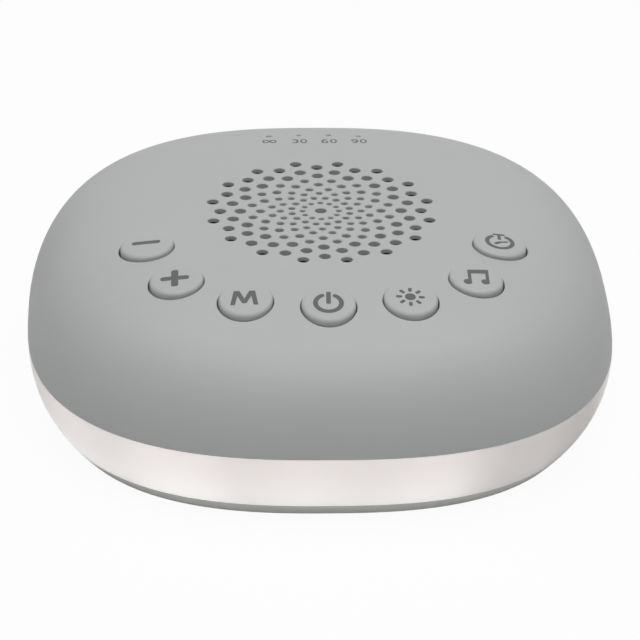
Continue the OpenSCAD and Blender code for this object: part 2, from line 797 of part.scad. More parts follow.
module speaker_yoke() {
    color(steel) {
        translate([0, 0, z_yoke]) cylinder(r1 = magnet_r - 1.6, r2 = magnet_r - 0.6, h = 1);
        translate([0, 0, z_yoke + 1]) cylinder(r = magnet_r - 0.6, h = yoke_t - 1);
        translate([0, 0, z_yoke + 1]) cylinder(r = pole_r, h = z_basket - z_yoke - 1);
    }
}

// Terminal strip under the frame, with two solder lugs
module speaker_terminals() {
    z = z_basket - glue_gap - lug_strip_t;
    color([0.6, 0.5, 0.3]) translate([magnet_r, -4, z]) cube([3.4, 8, lug_strip_t]);
    color(steel) for (s = [-1, 1])
        translate([lug_x - 0.6, s * lug_y - 0.6, z - lug_h]) cube([1.2, 1.2, lug_h]);
}

module speaker_wires() {
    z_lug = z_basket - glue_gap - lug_strip_t - lug_h;
    z_plug = z_main + board_t + plug_h;
    color([0.7, 0.1, 0.1]) for (s = [-1, 1]) wire([
        [lug_x, s * lug_y, z_lug - 0.05], [lug_x, s * lug_y, z_lug - 1.2],
        [lug_x + 2, s * lug_y, z_lug - 3.5],
        [plug_place.x, plug_place.y + s * 1.2, z_plug + 3.5],
        [plug_place.x, plug_place.y + s * 1.2, z_plug + 0.1]
    ], 0.55, [0, 1, 0]);
}

// ---------------------------------------------------------------- main board

module main_board() {
    color(board_green) translate([0, 0, z_main]) difference() {
        rounded_plate(main_w, main_d, main_corner, board_t);
        at_main_holes() translate([0, 0, -1]) cylinder(r = 1.2, h = board_t + 2, $fn = 24);
    }
}

module main_board_screws() {
    color(steel) at_main_holes() translate([0, 0, z_main + board_t])
        mirror([0, 0, 1]) screw(0.95, 4.2, 2, 1.2);
}

// Sound processor with its legs, flash memory and amplifier
module board_chips() {
    z = z_main + board_t;
    color([0.15, 0.15, 0.16]) {
        chip([-12, 8, z], 10, 10, 1.5);
        chip([8, 14, z], 6, 5, 1.2);
        chip([6, -10, z], 6, 5, 1.2);
    }
}

module chip(at, w, d, h) {
    translate(at) {
        translate([-w / 2, -d / 2, 0.2]) cube([w, d, h]);
        for (x = [-w / 2 + 0.75:1.27:w / 2 - 0.5])
            translate([x - 0.2, -d / 2 - 0.9, 0]) cube([0.4, d + 1.8, 0.3]);
    }
}

module filter_capacitors() {
    z = z_main + board_t;
    color([0.2, 0.25, 0.5]) for (p = [[-26, -14], [-18, -14], [22, -12]]) translate([p.x, p.y, z]) {
        translate([-3.2, -3.2, 0]) cube([6.4, 6.4, 0.8]);
        translate([0, 0, 0.8]) cylinder(r = 3, h = 4.4);
    }
}

// White plug for the speaker's two wires
module speaker_plug() {
    p = plug_place;
    color([0.95, 0.95, 0.9]) translate([p.x - 2.2, p.y - 3.6, z_main + board_t]) cube([4.4, 7.2, plug_h]);
}

// Flat sockets, one on the main board and one under the button board
module ribbon_sockets() {
    h = 2.4;
    color([0.95, 0.95, 0.9]) for (z = [z_main + board_t, z_board - board_t - h])
        translate([-ribbon_w / 2 - 1, ribbon_y - 1.6, z]) difference() {
            cube([ribbon_w + 2, 3.2, h]);
            translate([0.9, 1.6 - ribbon_t / 2 - 0.1, -1])
                cube([ribbon_w + 0.2, ribbon_t + 0.2, z > z_main + 5 ? h : h + 2]);
        }
}

module ribbon_cable() {
    z0 = z_main + board_t + 0.5;
    z1 = z_board - board_t - 1.5;
    bow = 1.5;
    steps = 12;
    side = [for (i = [0:steps]) let (u = i / steps)
        [bow * (1 - cos(360 * max(0, min(1, (u - 0.2) / 0.6)))) / 2, z0 + (z1 - z0) * u]];
    color([0.9, 0.9, 0.92]) translate([ribbon_w / 2, ribbon_y - ribbon_t / 2, 0])
        rotate([90, 0, -90]) linear_extrude(height = ribbon_w) polygon(concat(
            [for (q = side) [-q.x, q.y]],
            [for (i = [steps:-1:0]) [-side[i].x - ribbon_t, side[i].y]]));
}

// ---------------------------------------------------------------- power inlet

// Metal shell round a tongue, its mouth just inside the port
module usb_socket() {
    color(steel) translate([0, usb_mouth_y - usb_l, z_port]) {
        difference() {
            obround(usb_w, usb_h, usb_l);
            translate([0, 1, 0]) obround(usb_w - 2 * usb_wall, usb_h - 2 * usb_wall, usb_l);
        }
        translate([-3.35, 0.5, -0.35]) cube([6.7, usb_l - 1.5, 0.7]);
    }
}

module usb_board() {
    color(board_green) translate([0, usb_mouth_y - usb_board_d / 2 - 0.3, z_usb_board]) difference() {
        rounded_plate(usb_board_w, usb_board_d, 1.5, board_t);
        translate([0, usb_board_d / 2 + 0.3 - usb_mouth_y, -1])
            at_usb_posts() cylinder(r = 1.2, h = board_t + 2, $fn = 24);
    }
}

module usb_board_screws() {
    color(steel) at_usb_posts() translate([0, 0, z_usb_board + board_t])
        mirror([0, 0, 1]) screw(0.95, 4.6, 1.9, 1.2);
}

module usb_wires() {
    side = ribbon_w / 2 + 2.6;
    z_top = z_main + board_t;
    color([0.1, 0.1, 0.1]) for (s = [-1, 1]) wire([
        [s * 1.5, usb_posts_y, z_usb_board - 0.1], [s * 1.5, usb_posts_y, z_usb_board - 3],
        [s * side, ribbon_y + 6.5, z_top + 5], [s * side, ribbon_y - 5.5, z_top + 2.5],
        [s * side, ribbon_y - 5.5, z_top + 0.1]
    ], 0.6, [1, 0, 0]);
}

// ---------------------------------------------------------------- parts, one name each

top_shell();
diffuser_band();
base_cover();
light_reflector();
led_strip();
strip_leds();
button_minus();
button_plus();
button_mode();
button_power();
button_light();
button_sound();
button_timer();
plunger_minus();
plunger_plus();
plunger_mode();
plunger_power();
plunger_light();
plunger_sound();
plunger_timer();
switch_cases();
button_board();
button_board_screws();
timer_leds();
timer_light_guide();
grille_mesh();
speaker_gasket();
speaker_frame();
speaker_surround();
speaker_cone();
speaker_dust_cap();
speaker_voice_coil();
speaker_spider();
speaker_top_plate();
speaker_magnet();
speaker_yoke();
speaker_terminals();
speaker_screws();
speaker_wires();
main_board();
board_chips();
filter_capacitors();
speaker_plug();
main_board_screws();
ribbon_sockets();
ribbon_cable();
usb_socket();
usb_board();
usb_board_screws();
usb_wires();
rubber_foot_front_left();
rubber_foot_front_right();
rubber_foot_rear_left();
rubber_foot_rear_right();
case_screws();
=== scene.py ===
"""Looks of the white noise sound machine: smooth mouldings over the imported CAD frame, printed
symbols, materials, soft studio light and the photograph's camera. Everything is in metres."""

import json
import math

import bpy
import numpy as np
from mathutils import Matrix, Vector, geometry


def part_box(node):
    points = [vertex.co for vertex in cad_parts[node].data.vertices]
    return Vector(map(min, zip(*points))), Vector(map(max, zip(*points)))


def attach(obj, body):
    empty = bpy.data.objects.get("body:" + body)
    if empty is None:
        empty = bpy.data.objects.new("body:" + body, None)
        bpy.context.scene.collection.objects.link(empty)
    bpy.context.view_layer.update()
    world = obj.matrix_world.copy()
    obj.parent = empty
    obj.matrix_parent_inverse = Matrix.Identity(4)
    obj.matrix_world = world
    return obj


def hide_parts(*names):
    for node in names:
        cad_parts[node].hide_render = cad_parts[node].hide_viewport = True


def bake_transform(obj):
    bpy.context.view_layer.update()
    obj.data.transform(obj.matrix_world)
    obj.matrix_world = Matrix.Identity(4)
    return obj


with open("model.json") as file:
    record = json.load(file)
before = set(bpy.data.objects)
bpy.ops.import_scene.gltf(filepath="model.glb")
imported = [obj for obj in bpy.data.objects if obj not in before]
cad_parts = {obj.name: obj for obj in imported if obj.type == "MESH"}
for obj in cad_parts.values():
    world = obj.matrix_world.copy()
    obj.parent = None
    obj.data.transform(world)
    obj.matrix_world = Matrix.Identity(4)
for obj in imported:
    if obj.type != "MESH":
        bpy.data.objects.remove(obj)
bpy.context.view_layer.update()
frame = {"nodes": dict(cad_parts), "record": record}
MM = 0.001


def middle(node):
    """Centre of a node's box, as seen from above."""
    low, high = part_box(node)
    return (low.x + high.x) / 2, (low.y + high.y) / 2


# -------------------- sizes, from the frame

band_low, band_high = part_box("diffuser_band")
socket_low, socket_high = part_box("usb_socket")

TONGUE = 1.6 * MM                        # how far the band's tongue stands up inside the shell
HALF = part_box("top_shell")[1].x          # half width of the housing at the shell's lower edge
Z_EDGE = band_high.z - TONGUE            # shell's lower edge, on the light band
Z_BAND = band_low.z                      # band's lower edge, on the base
Z_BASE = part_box("base_cover")[0].z       # underside of the base
Z_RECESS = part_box("grille_mesh")[1].z    # underside of the perforated area
DOME_H = 24.1 * MM                       # height of the dome over that edge

OUTLINE_N = 2.58                         # squareness of the outline
DOME_FLAT = 6.0                          # flatness of the dome's top
DOME_ROUND = 1.74                        # roundness of its shoulder
UNDERCUT = 7.1 * MM                      # draw-in of the underside
UNDERCUT_POWER = 2.05
WALL = 2.2 * MM
BASE_WALL = 2.0 * MM
NEST = 0.2 * MM                          # clearance between parts that nest
EDGE_ROUND = 0.2 * MM                    # rounding along the mouldings' meeting edges

# Centre of each key's hole: that of the switch plunger under it
KEY_PLACES = {key: middle("plunger_" + key)
              for key in ("minus", "plus", "mode", "power", "light", "sound", "timer")}
KEY_R = 5.27 * MM
KEY_OFF = 0.11 * MM                      # keys stand this much nearer the middle than their holes
KEY_PROUD = 0.9 * MM                     # how far a face's middle stands over the dome
KEY_FILLET = 0.68 * MM
KEY_HOLE_R = 5.5 * MM
KEY_LIP = 0.18 * MM                      # rounding of a key hole's mouth
KEY_WALL = 1.2 * MM
KEY_ROOF = 2.4 * MM
KEY_CROWN = 0.06 * MM                    # how far a cap's face is crowned
COLLAR_R = 6.95 * MM
COLLAR_CLEAR = 0.4 * MM
FLANGE_R = 6.25 * MM
FLANGE_T = 0.8 * MM
FLANGE_GAP = 0.3 * MM                    # between a resting flange and its collar
STEM_R = 1.5 * MM
STEM_DROP = 0.5 * MM

GRILLE_R = 22.0 * MM                     # to the centres of the outermost sound holes
RING_PAIR, RING_STEP = 0.183, 0.084      # shares of it between pairs of rings and in a pair
SOUND_HOLE_R = 1.15 * MM
SOUND_LIP = 0.2 * MM                     # rounding of the mouths of the wide sound holes
SMALL_HOLE = 0.9                         # share of that radius under which a hole is small
SMALL_LIP = 0.3 * MM
SOUND_CLEAR = 0.48 * MM                  # how far round a hole the dome's grid is kept away
RING_HOLES = 16
RING_SCALES = (1, 1, 0.98, 0.98, 0.745, 0.745, 0.635, 0.575, 0.575)
INNER_RING = (0.166, 12, 0.47)           # share of the radius, holes, share of the diameter
RECESS_R = 24.8 * MM
SOUND_WALL = 0.88 * MM                   # wall at the outermost sound holes, where it is thinnest
THIN_FROM, THIN_OVER = 0.84, 0.1         # where it thins to that, in shares of GRILLE_R
PIN_Y = 37.25 * MM                       # of the two middle pinholes
PIN_BOW = 0.45 * MM                      # how much nearer the front the outer ones stand
PIN_PITCH = 6.2 * MM
PIN_R = 0.58 * MM
PIN_LIP = 0.1 * MM
PIN_CLEAR = 0.5 * MM
PORT_W, PORT_H = 11.6 * MM, 6.4 * MM     # the port in the rear wall
PORT_Z = (socket_low.z + socket_high.z) / 2
PORT_LIP = 0.4 * MM
PORT_CLEAR = 1.3 * MM
DRAWN_FROM, DRAWN_BY = 0.80, 0.87        # levels between which the wall turns from top to side

SIDES = 360                              # of every squircle ring
SOUND_SIDES, KEY_SIDES, PIN_SIDES = 32, 96, 24
GRID = 1.15 * MM                         # spacing of the points over the dome
LIP_STEPS = np.radians([0, 22.5, 45, 67.5, 90])


def angles(count, first=0.0):
    """Even angles round a circle."""
    return (np.arange(count) + first) * 2 * math.pi / count


def ways(angle):
    """Unit vectors in the plane, in the given directions."""
    return np.stack([np.cos(angle), np.sin(angle)], -1)


# -------------------- surfaces

def outline_r(angle):
    """Radius of the unit outline in a direction."""
    c, s = np.abs(np.cos(angle)), np.abs(np.sin(angle))
    return (c ** OUTLINE_N + s ** OUTLINE_N) ** (-1 / OUTLINE_N)


def level(x, y):
    """Share of the half width that the outline through a point has."""
    return (np.abs(x) ** OUTLINE_N + np.abs(y) ** OUTLINE_N) ** (1 / OUTLINE_N) / HALF


def rise(t):
    return np.maximum(0, 1 - np.minimum(t, 1) ** DOME_FLAT) ** (1 / DOME_ROUND)


def dome_z(x, y):
    return Z_EDGE + DOME_H * rise(level(x, y))


def dome_normal(points):
    """Outward normals of the dome at points on it, from the gradient of its implicit form."""
    x, y, z = points[..., 0], points[..., 1], points[..., 2]
    t = np.maximum(level(x, y), 1e-6)
    side = DOME_FLAT * t ** (DOME_FLAT - OUTLINE_N) / HALF ** OUTLINE_N
    r = np.clip((z - Z_EDGE) / DOME_H, 0, 1)
    n = np.stack([
        side * np.sign(x) * np.abs(x) ** (OUTLINE_N - 1),
        side * np.sign(y) * np.abs(y) ** (OUTLINE_N - 1),
        DOME_ROUND * r ** (DOME_ROUND - 1) / DOME_H,
    ], -1)
    return n / np.linalg.norm(n, axis=-1, keepdims=True)


def ceiling_z(x, y):
    """Underside of the shell, higher in the recess behind the sound holes, most so at the
    outermost ones."""
    z = Z_EDGE + (DOME_H - WALL) * rise(level(x, y) * HALF / (HALF - WALL))
    r = np.hypot(x, y)
    thin = dome_z(x, y) - SOUND_WALL
    thinned = np.clip((r / GRILLE_R - THIN_FROM) / THIN_OVER, 0, 1)
    recess = Z_RECESS + (thin - Z_RECESS) * thinned
    return np.where(r < RECESS_R, recess, z)


def low_half(z):
    """Half width of the band and the base at a height."""
    return HALF - UNDERCUT * (max(0, Z_EDGE - z) / (Z_EDGE - Z_BASE)) ** UNDERCUT_POWER


# -------------------- mesh helpers

def new_object(name, verts, faces, material=None, smooth_deg=None):
    mesh = bpy.data.meshes.new(name)
    mesh.from_pydata([tuple(v) for v in verts], [], [tuple(int(i) for i in f) for f in faces])
    mesh.update()
    obj = bpy.data.objects.new(name, mesh)
    bpy.context.scene.collection.objects.link(obj)
    if smooth_deg:
        mesh.shade_smooth()
        mesh.set_sharp_from_angle(angle=math.radians(smooth_deg))
    if material:
        mesh.materials.append(material)
    return obj


def renumber(faces):
    """The vertices that faces use, and the faces with just those numbered afresh."""
    used = sorted({i for face in faces for i in face})
    number = {old: new for new, old in enumerate(used)}
    return used, [tuple(number[i] for i in face) for face in faces]


def strips(rows, closed=False):
    """Quads between neighbouring rows of vertex numbers, each row a closed loop."""
    faces = []
    pairs = list(zip(rows[:-1], rows[1:])) + ([(rows[-1], rows[0])] if closed else [])
    for low, high in pairs:
        n = len(low)
        faces += [(low[i], low[(i + 1) % n], high[(i + 1) % n], high[i]) for i in range(n)]
    return faces


def squircle(half, z):
    """Ring of points on the outline of a half width, at a height."""
    a = angles(SIDES)
    return np.column_stack([half * outline_r(a)[:, None] * ways(a), np.full(SIDES, z)])


def loft(name, rings, material, closed=True, smooth_deg=32):
    """Moulding through squircle rings of (half width, height), outside upwards."""
    rows = [list(range(j * SIDES, (j + 1) * SIDES)) for j in range(len(rings))]
    faces = strips(rows, closed)
    if not closed:
        faces += [rows[0][::-1], rows[-1]]
    verts = np.concatenate([squircle(half, z) for half, z in rings])
    return new_object(name, verts, faces, material, smooth_deg)


def revolve(name, profile, centre, material, smooth_deg=32, sides=96, lift=None):
    """Solid turned about an upright axis, from a profile of (radius, height), outside upwards.
    With lift, its points move up by lift(x, y, height), x and y measured from the axis."""
    verts, rows = [], []
    for r, z in profile:
        count = sides if r > 0 else 1
        rows.append(list(range(len(verts), len(verts) + count)))
        for a in angles(sides)[:count]:
            x, y = r * math.cos(a), r * math.sin(a)
            verts.append((centre[0] + x, centre[1] + y, z + (lift(x, y, z) if lift else 0)))
    faces = []
    for low, high in zip(rows[:-1], rows[1:]):
        for i in range(sides):
            k = (i + 1) % sides
            if len(low) == 1:
                faces.append((low[0], high[k], high[i]))
            elif len(high) == 1:
                faces.append((low[i], low[k], high[0]))
            else:
                faces.append((low[i], low[k], high[k], high[i]))
    return new_object(name, verts, faces, material, smooth_deg)


def rounded(points, radius, steps=4):
    """Closed profile of (half width, height, is corner) with its corners rounded off, each over
    less than half of the sides that meet there."""
    out = []
    for i, (x, z, corner) in enumerate(points):
        if not corner:
            out.append((x, z))
            continue
        here = np.array([x, z])
        before = np.array(points[i - 1][:2]) - here
        after = np.array(points[(i + 1) % len(points)][:2]) - here
        reach = min(radius, 0.45 * np.linalg.norm(before), 0.45 * np.linalg.norm(after))
        p = here + before / np.linalg.norm(before) * reach
        q = here + after / np.linalg.norm(after) * reach
        for k in range(steps + 1):
            u = k / steps
            out.append(tuple((1 - u) ** 2 * p + 2 * u * (1 - u) * here + u * u * q))
    return out


def within(points, loop):
    """Which points lie inside a closed loop, by counting crossings."""
    inside = np.zeros(len(points), bool)
    for (x0, y0), (x1, y1) in zip(loop, np.roll(loop, -1, axis=0)):
        crosses = (y0 > points[:, 1]) != (y1 > points[:, 1])
        height = np.where(y1 == y0, 1, y1 - y0)
        at = x0 + (points[:, 1] - y0) * (x1 - x0) / height
        inside ^= crosses & (points[:, 0] < at)
    return inside


# -------------------- shell

def circle(cx, cy, r, count):
    a = angles(count)
    return cx + r * np.cos(a), cy + r * np.sin(a)


def unit_rows(v):
    return v / np.linalg.norm(v, axis=1, keepdims=True)


def upright_hole(cx, cy, r, lip, count, collar=None):
    """Rings of a hole bored straight down through the dome, as (points, normals): its mouth,
    the rounded lip, the wall and the inside, which a collar carries further down."""
    rings = []
    for beta in LIP_STEPS:
        x, y = circle(cx, cy, r + lip - lip * math.sin(beta), count)
        points = np.stack([x, y, dome_z(x, y)], -1)
        inward = unit_rows(np.stack([cx - x, cy - y, 0 * x], -1))
        normals = math.cos(beta) * dome_normal(points) + math.sin(beta) * inward
        points[:, 2] -= lip * (1 - math.cos(beta))
        rings.append((points, unit_rows(normals)))
    if collar:
        collar_r, collar_z = collar
        for edge_r in (r, collar_r):
            x, y = circle(cx, cy, edge_r, count)
            rings.append((np.stack([x, y, np.full(count, collar_z)], -1), inward))
    rings.append((np.stack([x, y, ceiling_z(x, y)], -1), inward))
    return rings


def wall_y(x, z, inset=0.0):
    """Depth of the rear wall's face, or of its inside, at a place and height."""
    half, high = HALF - inset, DOME_H - inset
    t = (1 - ((z - Z_EDGE) / high) ** DOME_ROUND) ** (1 / DOME_FLAT)
    return half * (t ** OUTLINE_N - np.abs(x / half) ** OUTLINE_N) ** (1 / OUTLINE_N)


def rear_port(round_steps=24, flat_steps=8):
    """Rings of the port, as for a hole: a bar with round ends, cut through the rear wall."""
    flat = (PORT_W - PORT_H) / 2
    ends = np.linspace(-math.pi / 2, math.pi / 2, round_steps, endpoint=False)
    span = np.linspace(flat, -flat, flat_steps, endpoint=False)
    side = [(math.cos(a), math.sin(a), flat) for a in ends] + [(0, 1, x) for x in span]
    around = np.array(side + [(-c, -s, -x) for c, s, x in side])
    # Seen from behind, the loop runs anticlockwise
    out_x, out_z, end_x = -around[:, 0], around[:, 1], -around[:, 2]
    rings = []
    for beta in LIP_STEPS:
        r = PORT_H / 2 + PORT_LIP * (1 - math.sin(beta))
        x, z = end_x + r * out_x, PORT_Z + r * out_z
        points = np.stack([x, wall_y(x, z), z], -1)
        inward = np.stack([-out_x, 0 * x, -out_z], -1)
        normals = math.cos(beta) * dome_normal(points) + math.sin(beta) * inward
        points[:, 1] -= PORT_LIP * (1 - math.cos(beta))
        rings.append((points, unit_rows(normals)))
    rings.append((np.stack([x, wall_y(x, z, WALL), z], -1), inward))
    return rings


def sound_hole_places():
    """Centre and radius of each sound hole: one in the middle, then the rings."""
    rings = [(1 - RING_PAIR * (i // 2) - RING_STEP * (i % 2), RING_HOLES, scale,
              0.5 * (1 - i % 2)) for i, scale in enumerate(RING_SCALES)]
    places = [(0.0, 0.0, SOUND_HOLE_R)]
    for share, count, scale, first in rings + [(*INNER_RING, 0)]:
        places += [(share * GRILLE_R * math.cos(a), share * GRILLE_R * math.sin(a),
                    SOUND_HOLE_R * scale) for a in angles(count, first)]
    return places


class DomeMap:
    """Lays the dome out flat by the arc length of its profile, and back."""

    def __init__(self):
        # Finer steps where the profile nears the upright
        angle = np.concatenate([np.linspace(math.pi / 2, 0.02, 4000),
                                np.linspace(0.02, 0, 400)[1:]])
        self.t = np.cos(angle) ** (2 / DOME_FLAT)
        self.t[0] = 0
        self.z = Z_EDGE + DOME_H * np.sin(angle) ** (2 / DOME_ROUND)
        steps = np.hypot(HALF * np.diff(self.t), np.diff(self.z))
        self.s = np.concatenate([[0], np.cumsum(steps)])

    def reach(self, z):
        return np.interp(-z, -self.z, self.s)

    def flatten(self, points):
        # On top the level tells the arc length best, and down the side the height
        t = level(points[:, 0], points[:, 1])
        s = np.where(t < 0.9, np.interp(t, self.t, self.s), self.reach(points[:, 2]))
        return points[:, :2] * (s / np.maximum(HALF * t, 1e-9))[:, None]

    def unflatten(self, flat):
        a = np.arctan2(flat[:, 1], flat[:, 0])
        s = np.hypot(flat[:, 0], flat[:, 1]) / outline_r(a)
        plan = HALF * np.interp(s, self.s, self.t) * outline_r(a)
        return np.column_stack([plan[:, None] * ways(a), np.interp(s, self.s, self.z)])


def shell_holes():
    """Rings of every hole in the shell, and the discs that the dome's grid keeps clear."""
    holes, clear = [], []
    for x, y, r in sound_hole_places():
        lip = SMALL_LIP if r <= SMALL_HOLE * SOUND_HOLE_R else SOUND_LIP
        holes.append(upright_hole(x, y, r, lip, SOUND_SIDES))
        clear.append((x, y, r + SOUND_CLEAR))
    collar = (COLLAR_R, key_levels()["collar"])
    for x, y in KEY_PLACES.values():
        holes.append(upright_hole(x, y, KEY_HOLE_R, KEY_LIP, KEY_SIDES, collar))
        clear.append((x, y, COLLAR_R + COLLAR_CLEAR))
    for i in range(4):
        x, y = (i - 1.5) * PIN_PITCH, PIN_Y - PIN_BOW * (abs(i - 1.5) - 0.5)
        holes.append(upright_hole(x, y, PIN_R, PIN_LIP, PIN_SIDES))
        clear.append((x, y, PIN_R + PIN_CLEAR))
    holes.append(rear_port())
    return holes, clear


def dome_grid(dome, s_end, clear):
    """Points over the laid-out dome, even along and across, away from the holes."""
    grid = [np.zeros((1, 2))]
    for s in np.arange(GRID, s_end - 0.6 * GRID, GRID):
        count = int(round(2 * math.pi * s / GRID))
        a = angles(count, 0.5 * (len(grid) % 2))
        grid.append(s * outline_r(a)[:, None] * ways(a))
    grid = np.concatenate(grid)
    place = dome.unflatten(grid)
    keep = np.ones(len(grid), bool)
    for x, y, r in clear:
        keep &= np.hypot(place[:, 0] - x, place[:, 1] - y) > r
    beside = np.maximum(np.abs(place[:, 0]) - (PORT_W - PORT_H) / 2, 0)
    near_port = np.hypot(beside, place[:, 2] - PORT_Z) < PORT_H / 2 + PORT_CLEAR
    keep &= ~((place[:, 1] > 0) & near_port)
    return grid[keep], place[keep]


def inner_face(outer):
    """Points of the shell's inside that belong to points of its outside: straight below them
    on top, and drawn in by the wall near the edge."""
    t = level(outer[:, 0], outer[:, 1])
    drawn = np.clip((t - DRAWN_FROM) / (DRAWN_BY - DRAWN_FROM), 0, 1)
    drawn = drawn * drawn * (3 - 2 * drawn)
    inner = outer.copy()
    inner[:, :2] *= (1 - drawn * WALL / HALF)[:, None]
    side_z = Z_EDGE + (DOME_H - WALL) * (outer[:, 2] - Z_EDGE) / DOME_H
    inner[:, 2] = np.where(t > DRAWN_BY, side_z, ceiling_z(inner[:, 0], inner[:, 1]))
    return inner


def build_shell(material):
    """Closed shell: the dome is laid out flat, cut with every hole, meshed, and put back in
    space with exact normals; its inside follows it at the wall's thickness."""
    dome = DomeMap()
    s_end = dome.reach(Z_EDGE + EDGE_ROUND)
    holes, clear = shell_holes()
    grid, place = dome_grid(dome, s_end, clear)
    around = angles(SIDES)
    edge = s_end * outline_r(around)[:, None] * ways(around)

    flat = [grid, edge] + [dome.flatten(rings[0][0]) for rings in holes]
    starts = np.cumsum([0] + [len(f) for f in flat])
    flat = np.concatenate(flat) / s_end
    loops = [list(range(starts[k], starts[k + 1])) for k in range(1, len(starts) - 1)]
    edges = [(loop[i - 1], loop[i]) for loop in loops for i in range(len(loop))]
    got = geometry.delaunay_2d_cdt([Vector(p) for p in flat], edges, [], 0, 1e-7)
    names = np.array([ids[0] for ids in got[3]])
    triangles = names[np.array(got[2])]
    # Triangles between points of one loop are dropped where they lie within it
    owner = np.full(len(flat), -1)
    for k, loop in enumerate(loops[1:]):
        owner[loop] = k
    own = owner[triangles]
    inside = (own[:, 0] >= 0) & (own[:, 0] == own[:, 1]) & (own[:, 0] == own[:, 2])
    centres = flat[triangles].mean(axis=1)
    for k, loop in enumerate(loops[1:]):
        mine = np.where(inside & (own[:, 0] == k))[0]
        inside[mine] = within(centres[mine], flat[loop])
    triangles = triangles[~inside]

    outer = np.concatenate([place, dome.unflatten(edge)] + [rings[0][0] for rings in holes])
    normals = dome_normal(outer)
    inner = inner_face(outer)
    inner_normals = -normals
    for loop, rings in zip(loops[1:], holes):
        inner[loop], inner_normals[loop] = rings[-1]

    count = len(outer)
    verts, table = [outer, inner], [normals, inner_normals]
    smooth = triangles.tolist()
    plain = (triangles[:, ::-1] + count).tolist()
    total = 2 * count

    def add(points, point_normals):
        nonlocal total
        verts.append(points)
        table.append(point_normals)
        total += len(points)
        return list(range(total - len(points), total))

    for loop, rings in zip(loops[1:], holes):
        rows = [loop] + [add(*ring) for ring in rings[1:-1]] + [[i + count for i in loop]]
        wall_rows = len(LIP_STEPS) + 1
        smooth += strips(rows[:wall_rows])
        plain += strips(rows[wall_rows - 1:])
    # The lower edge: a small rounding, then flat to the inside
    rows = [loops[0]]
    out = unit_rows(normals[loops[0]] * [1, 1, 0])
    for beta in np.radians([30, 60, 90]):
        ring = squircle(HALF - EDGE_ROUND * (1 - math.cos(beta)),
                        Z_EDGE + EDGE_ROUND * (1 - math.sin(beta)))
        rows.append(add(ring, math.cos(beta) * out - math.sin(beta) * np.array([0, 0, 1.0])))
    foot = add(squircle(HALF - WALL, Z_EDGE), np.tile([0, 0, -1.0], (SIDES, 1)))
    smooth += strips([row[::-1] for row in rows])
    plain += strips([row[::-1] for row in (rows[-1], foot, [i + count for i in loops[0]])])

    faces = smooth + plain
    obj = new_object("shell", np.concatenate(verts), faces, material)
    obj.data.shade_smooth()
    face_of = np.repeat(np.arange(len(faces)), [len(face) for face in faces])
    by_face = np.array([tuple(face.normal) for face in obj.data.polygons])[face_of]
    by_point = np.concatenate(table)[np.concatenate(faces)]
    obj.data.normals_split_custom_set(
        np.where((face_of < len(smooth))[:, None], by_point, by_face).tolist())
    return obj


# -------------------- band, base and feet

def build_band(material):
    tongue = HALF - WALL - NEST
    tongue_t = 1.2 * MM
    shoulder = tongue - tongue_t - 1.2 * MM
    shoulder_z = Z_EDGE - 1.5 * MM
    heights = np.linspace(Z_BAND, Z_EDGE, 26)
    profile = [(low_half(z), z, z in (heights[0], heights[-1])) for z in heights]
    profile += [(tongue, Z_EDGE, False), (tongue, Z_EDGE + TONGUE, True),
                (tongue - tongue_t, Z_EDGE + TONGUE, True), (tongue - tongue_t, Z_EDGE, False),
                (shoulder, Z_EDGE, False), (shoulder, shoulder_z, False)]
    profile += [(low_half(z) - WALL, z, False)
                for z in np.linspace(shoulder_z - 1.5 * MM, Z_BAND, 8)]
    return loft("light_band", rounded(profile, EDGE_ROUND), material)


def carve(obj, cutter, operation):
    """Applies a boolean of one object on another, and removes the cutter with its mesh."""
    step = obj.modifiers.new("carve", "BOOLEAN")
    step.object = cutter
    step.operation = operation
    step.solver = "EXACT"
    made = bpy.data.meshes.new_from_object(
        obj.evaluated_get(bpy.context.evaluated_depsgraph_get()))
    obj.modifiers.clear()
    old = obj.data
    obj.data = made
    for mesh in (old, cutter.data):
        bpy.data.meshes.remove(mesh)


def rods(name, places, sides=64):
    """Upright rods in one mesh, each (x, y, radius, low, high)."""
    verts, faces = [], []
    for x, y, r, low, high in places:
        start = len(verts)
        for z in (low, high):
            px, py = circle(x, y, r, sides)
            verts += list(zip(px, py, [z] * sides))
        rows = [list(range(start + k, start + k + sides)) for k in (0, sides)]
        faces += strips(rows) + [rows[0][::-1], rows[1]]
    return new_object(name, verts, faces)


def corners_of(x, y):
    return [(sx * x, sy * y) for sx in (-1, 1) for sy in (-1, 1)]


